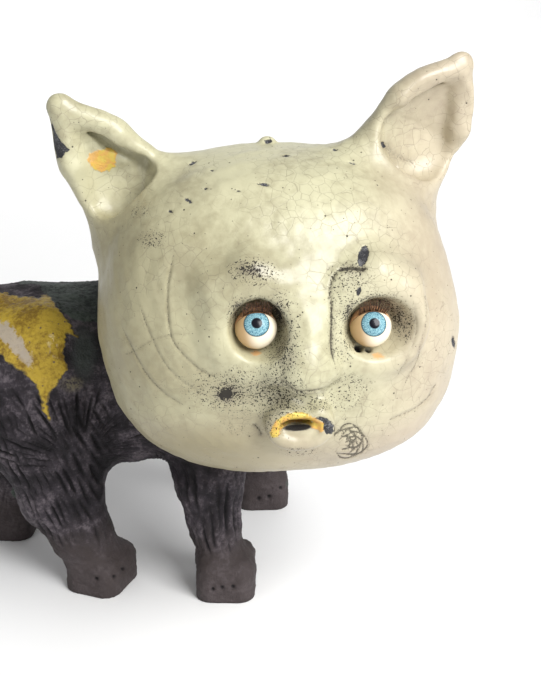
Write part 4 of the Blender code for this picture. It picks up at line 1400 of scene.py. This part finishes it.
def make_floor():
    """A pale floor that sweeps up behind into a wall: a profile of floor, bend and wall, drawn across."""
    bend = np.radians(np.linspace(0.0, 90.0, BEND_STEPS))
    start, radius = FLOOR["bend_from"], FLOOR["bend_radius"]
    y = np.concatenate([[FLOOR["front"]], start + radius * np.sin(bend), [start + radius]])
    z = np.concatenate([[0.0], radius * (1.0 - np.cos(bend)), [FLOOR["top"]]])
    reach = FLOOR["half_width"]
    points = np.stack([np.stack([np.full(len(y), x), y, z], axis=1) for x in (-reach, reach)], axis=1)
    index = np.arange(len(y) * 2).reshape(-1, 2)
    faces = np.stack([index[:-1, 0], index[:-1, 1], index[1:, 1], index[1:, 0]], axis=-1)
    mesh = bpy.data.meshes.new("floor")
    mesh.from_pydata(points.reshape(-1, 3).tolist(), [], faces.tolist())
    mesh.shade_smooth()
    mesh.materials.append(Finish("floor_paper", Base_Color=PAPER_WHITE, Roughness=0.9).material)
    floor = bpy.data.objects.new("floor", mesh)
    bpy.context.collection.objects.link(floor)


def soft_lamp(name, place, aim, side, power):
    """A square soft lamp at a place, in metres, that faces its aim."""
    lamp = bpy.data.lights.new(name, "AREA")
    lamp.shape = "SQUARE"
    lamp.size = side
    lamp.energy = power
    item = bpy.data.objects.new(name, lamp)
    item.location = place
    away = np.asarray(place) - np.asarray(aim)
    away /= np.sqrt(away @ away)
    item.rotation_euler = (math.acos(away[2]), 0.0, math.atan2(away[0], -away[1]))
    bpy.context.collection.objects.link(item)


def make_camera():
    """The camera at the front view's eye point."""
    camera = bpy.data.cameras.new("front_view")
    camera.sensor_fit = "VERTICAL"
    camera.sensor_height = 36.0
    camera.lens = VIEW_SCALE * camera.sensor_height / VIEW_SIZE[1]
    item = bpy.data.objects.new("front_view", camera)
    item.location = (VIEW_POINT * MM + LAYOUT_SHIFT).tolist()
    item.rotation_euler = (math.radians(90.0) - VIEW_FALL, 0.0, VIEW_TURN)
    bpy.context.collection.objects.link(item)
    bpy.context.scene.camera = item


def make_light():
    """A bright even room: white air and the lamps, of which the largest stands right of the view."""
    world = bpy.data.worlds.new("white_room")
    world.use_nodes = True
    air = world.node_tree.nodes["Background"].inputs
    air["Color"].default_value = (1.0, 1.0, 1.0, 1.0)
    air["Strength"].default_value = ROOM_STRENGTH
    bpy.context.scene.world = world
    for name, lamp in LAMPS.items():
        soft_lamp(name, **lamp)
    bpy.context.scene.view_settings.view_transform = "Standard"


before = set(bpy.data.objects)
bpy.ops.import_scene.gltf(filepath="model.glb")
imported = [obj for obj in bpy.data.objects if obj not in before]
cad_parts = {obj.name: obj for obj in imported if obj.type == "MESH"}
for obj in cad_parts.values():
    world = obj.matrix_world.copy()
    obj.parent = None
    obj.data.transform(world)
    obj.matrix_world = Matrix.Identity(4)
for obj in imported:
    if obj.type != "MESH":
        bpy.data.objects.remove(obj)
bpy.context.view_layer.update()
low_corner, high_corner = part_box("right_eye")
eye_middle = (np.array(low_corner) + np.array(high_corner)) / 2.0
LAYOUT_SHIFT = eye_middle - EYE_PLACES["right"] * MM

head_mesh = carved_skin("glazed_head", head_clay, *HEAD_BOX, head_marks)
new_piece("glazed_head", head_mesh, crackle_glaze(), "glazed_clay", "raku_cat")
body_mesh = carved_skin("clay_body", body_clay, *BODY_BOX, body_marks)
new_piece("clay_body", body_mesh, smoked_clay(), "glazed_clay", "raku_cat")
for eye_side in ("right", "left"):
    make_eye(eye_side)
    make_lashes(eye_side)
make_floor()
make_light()
make_camera()
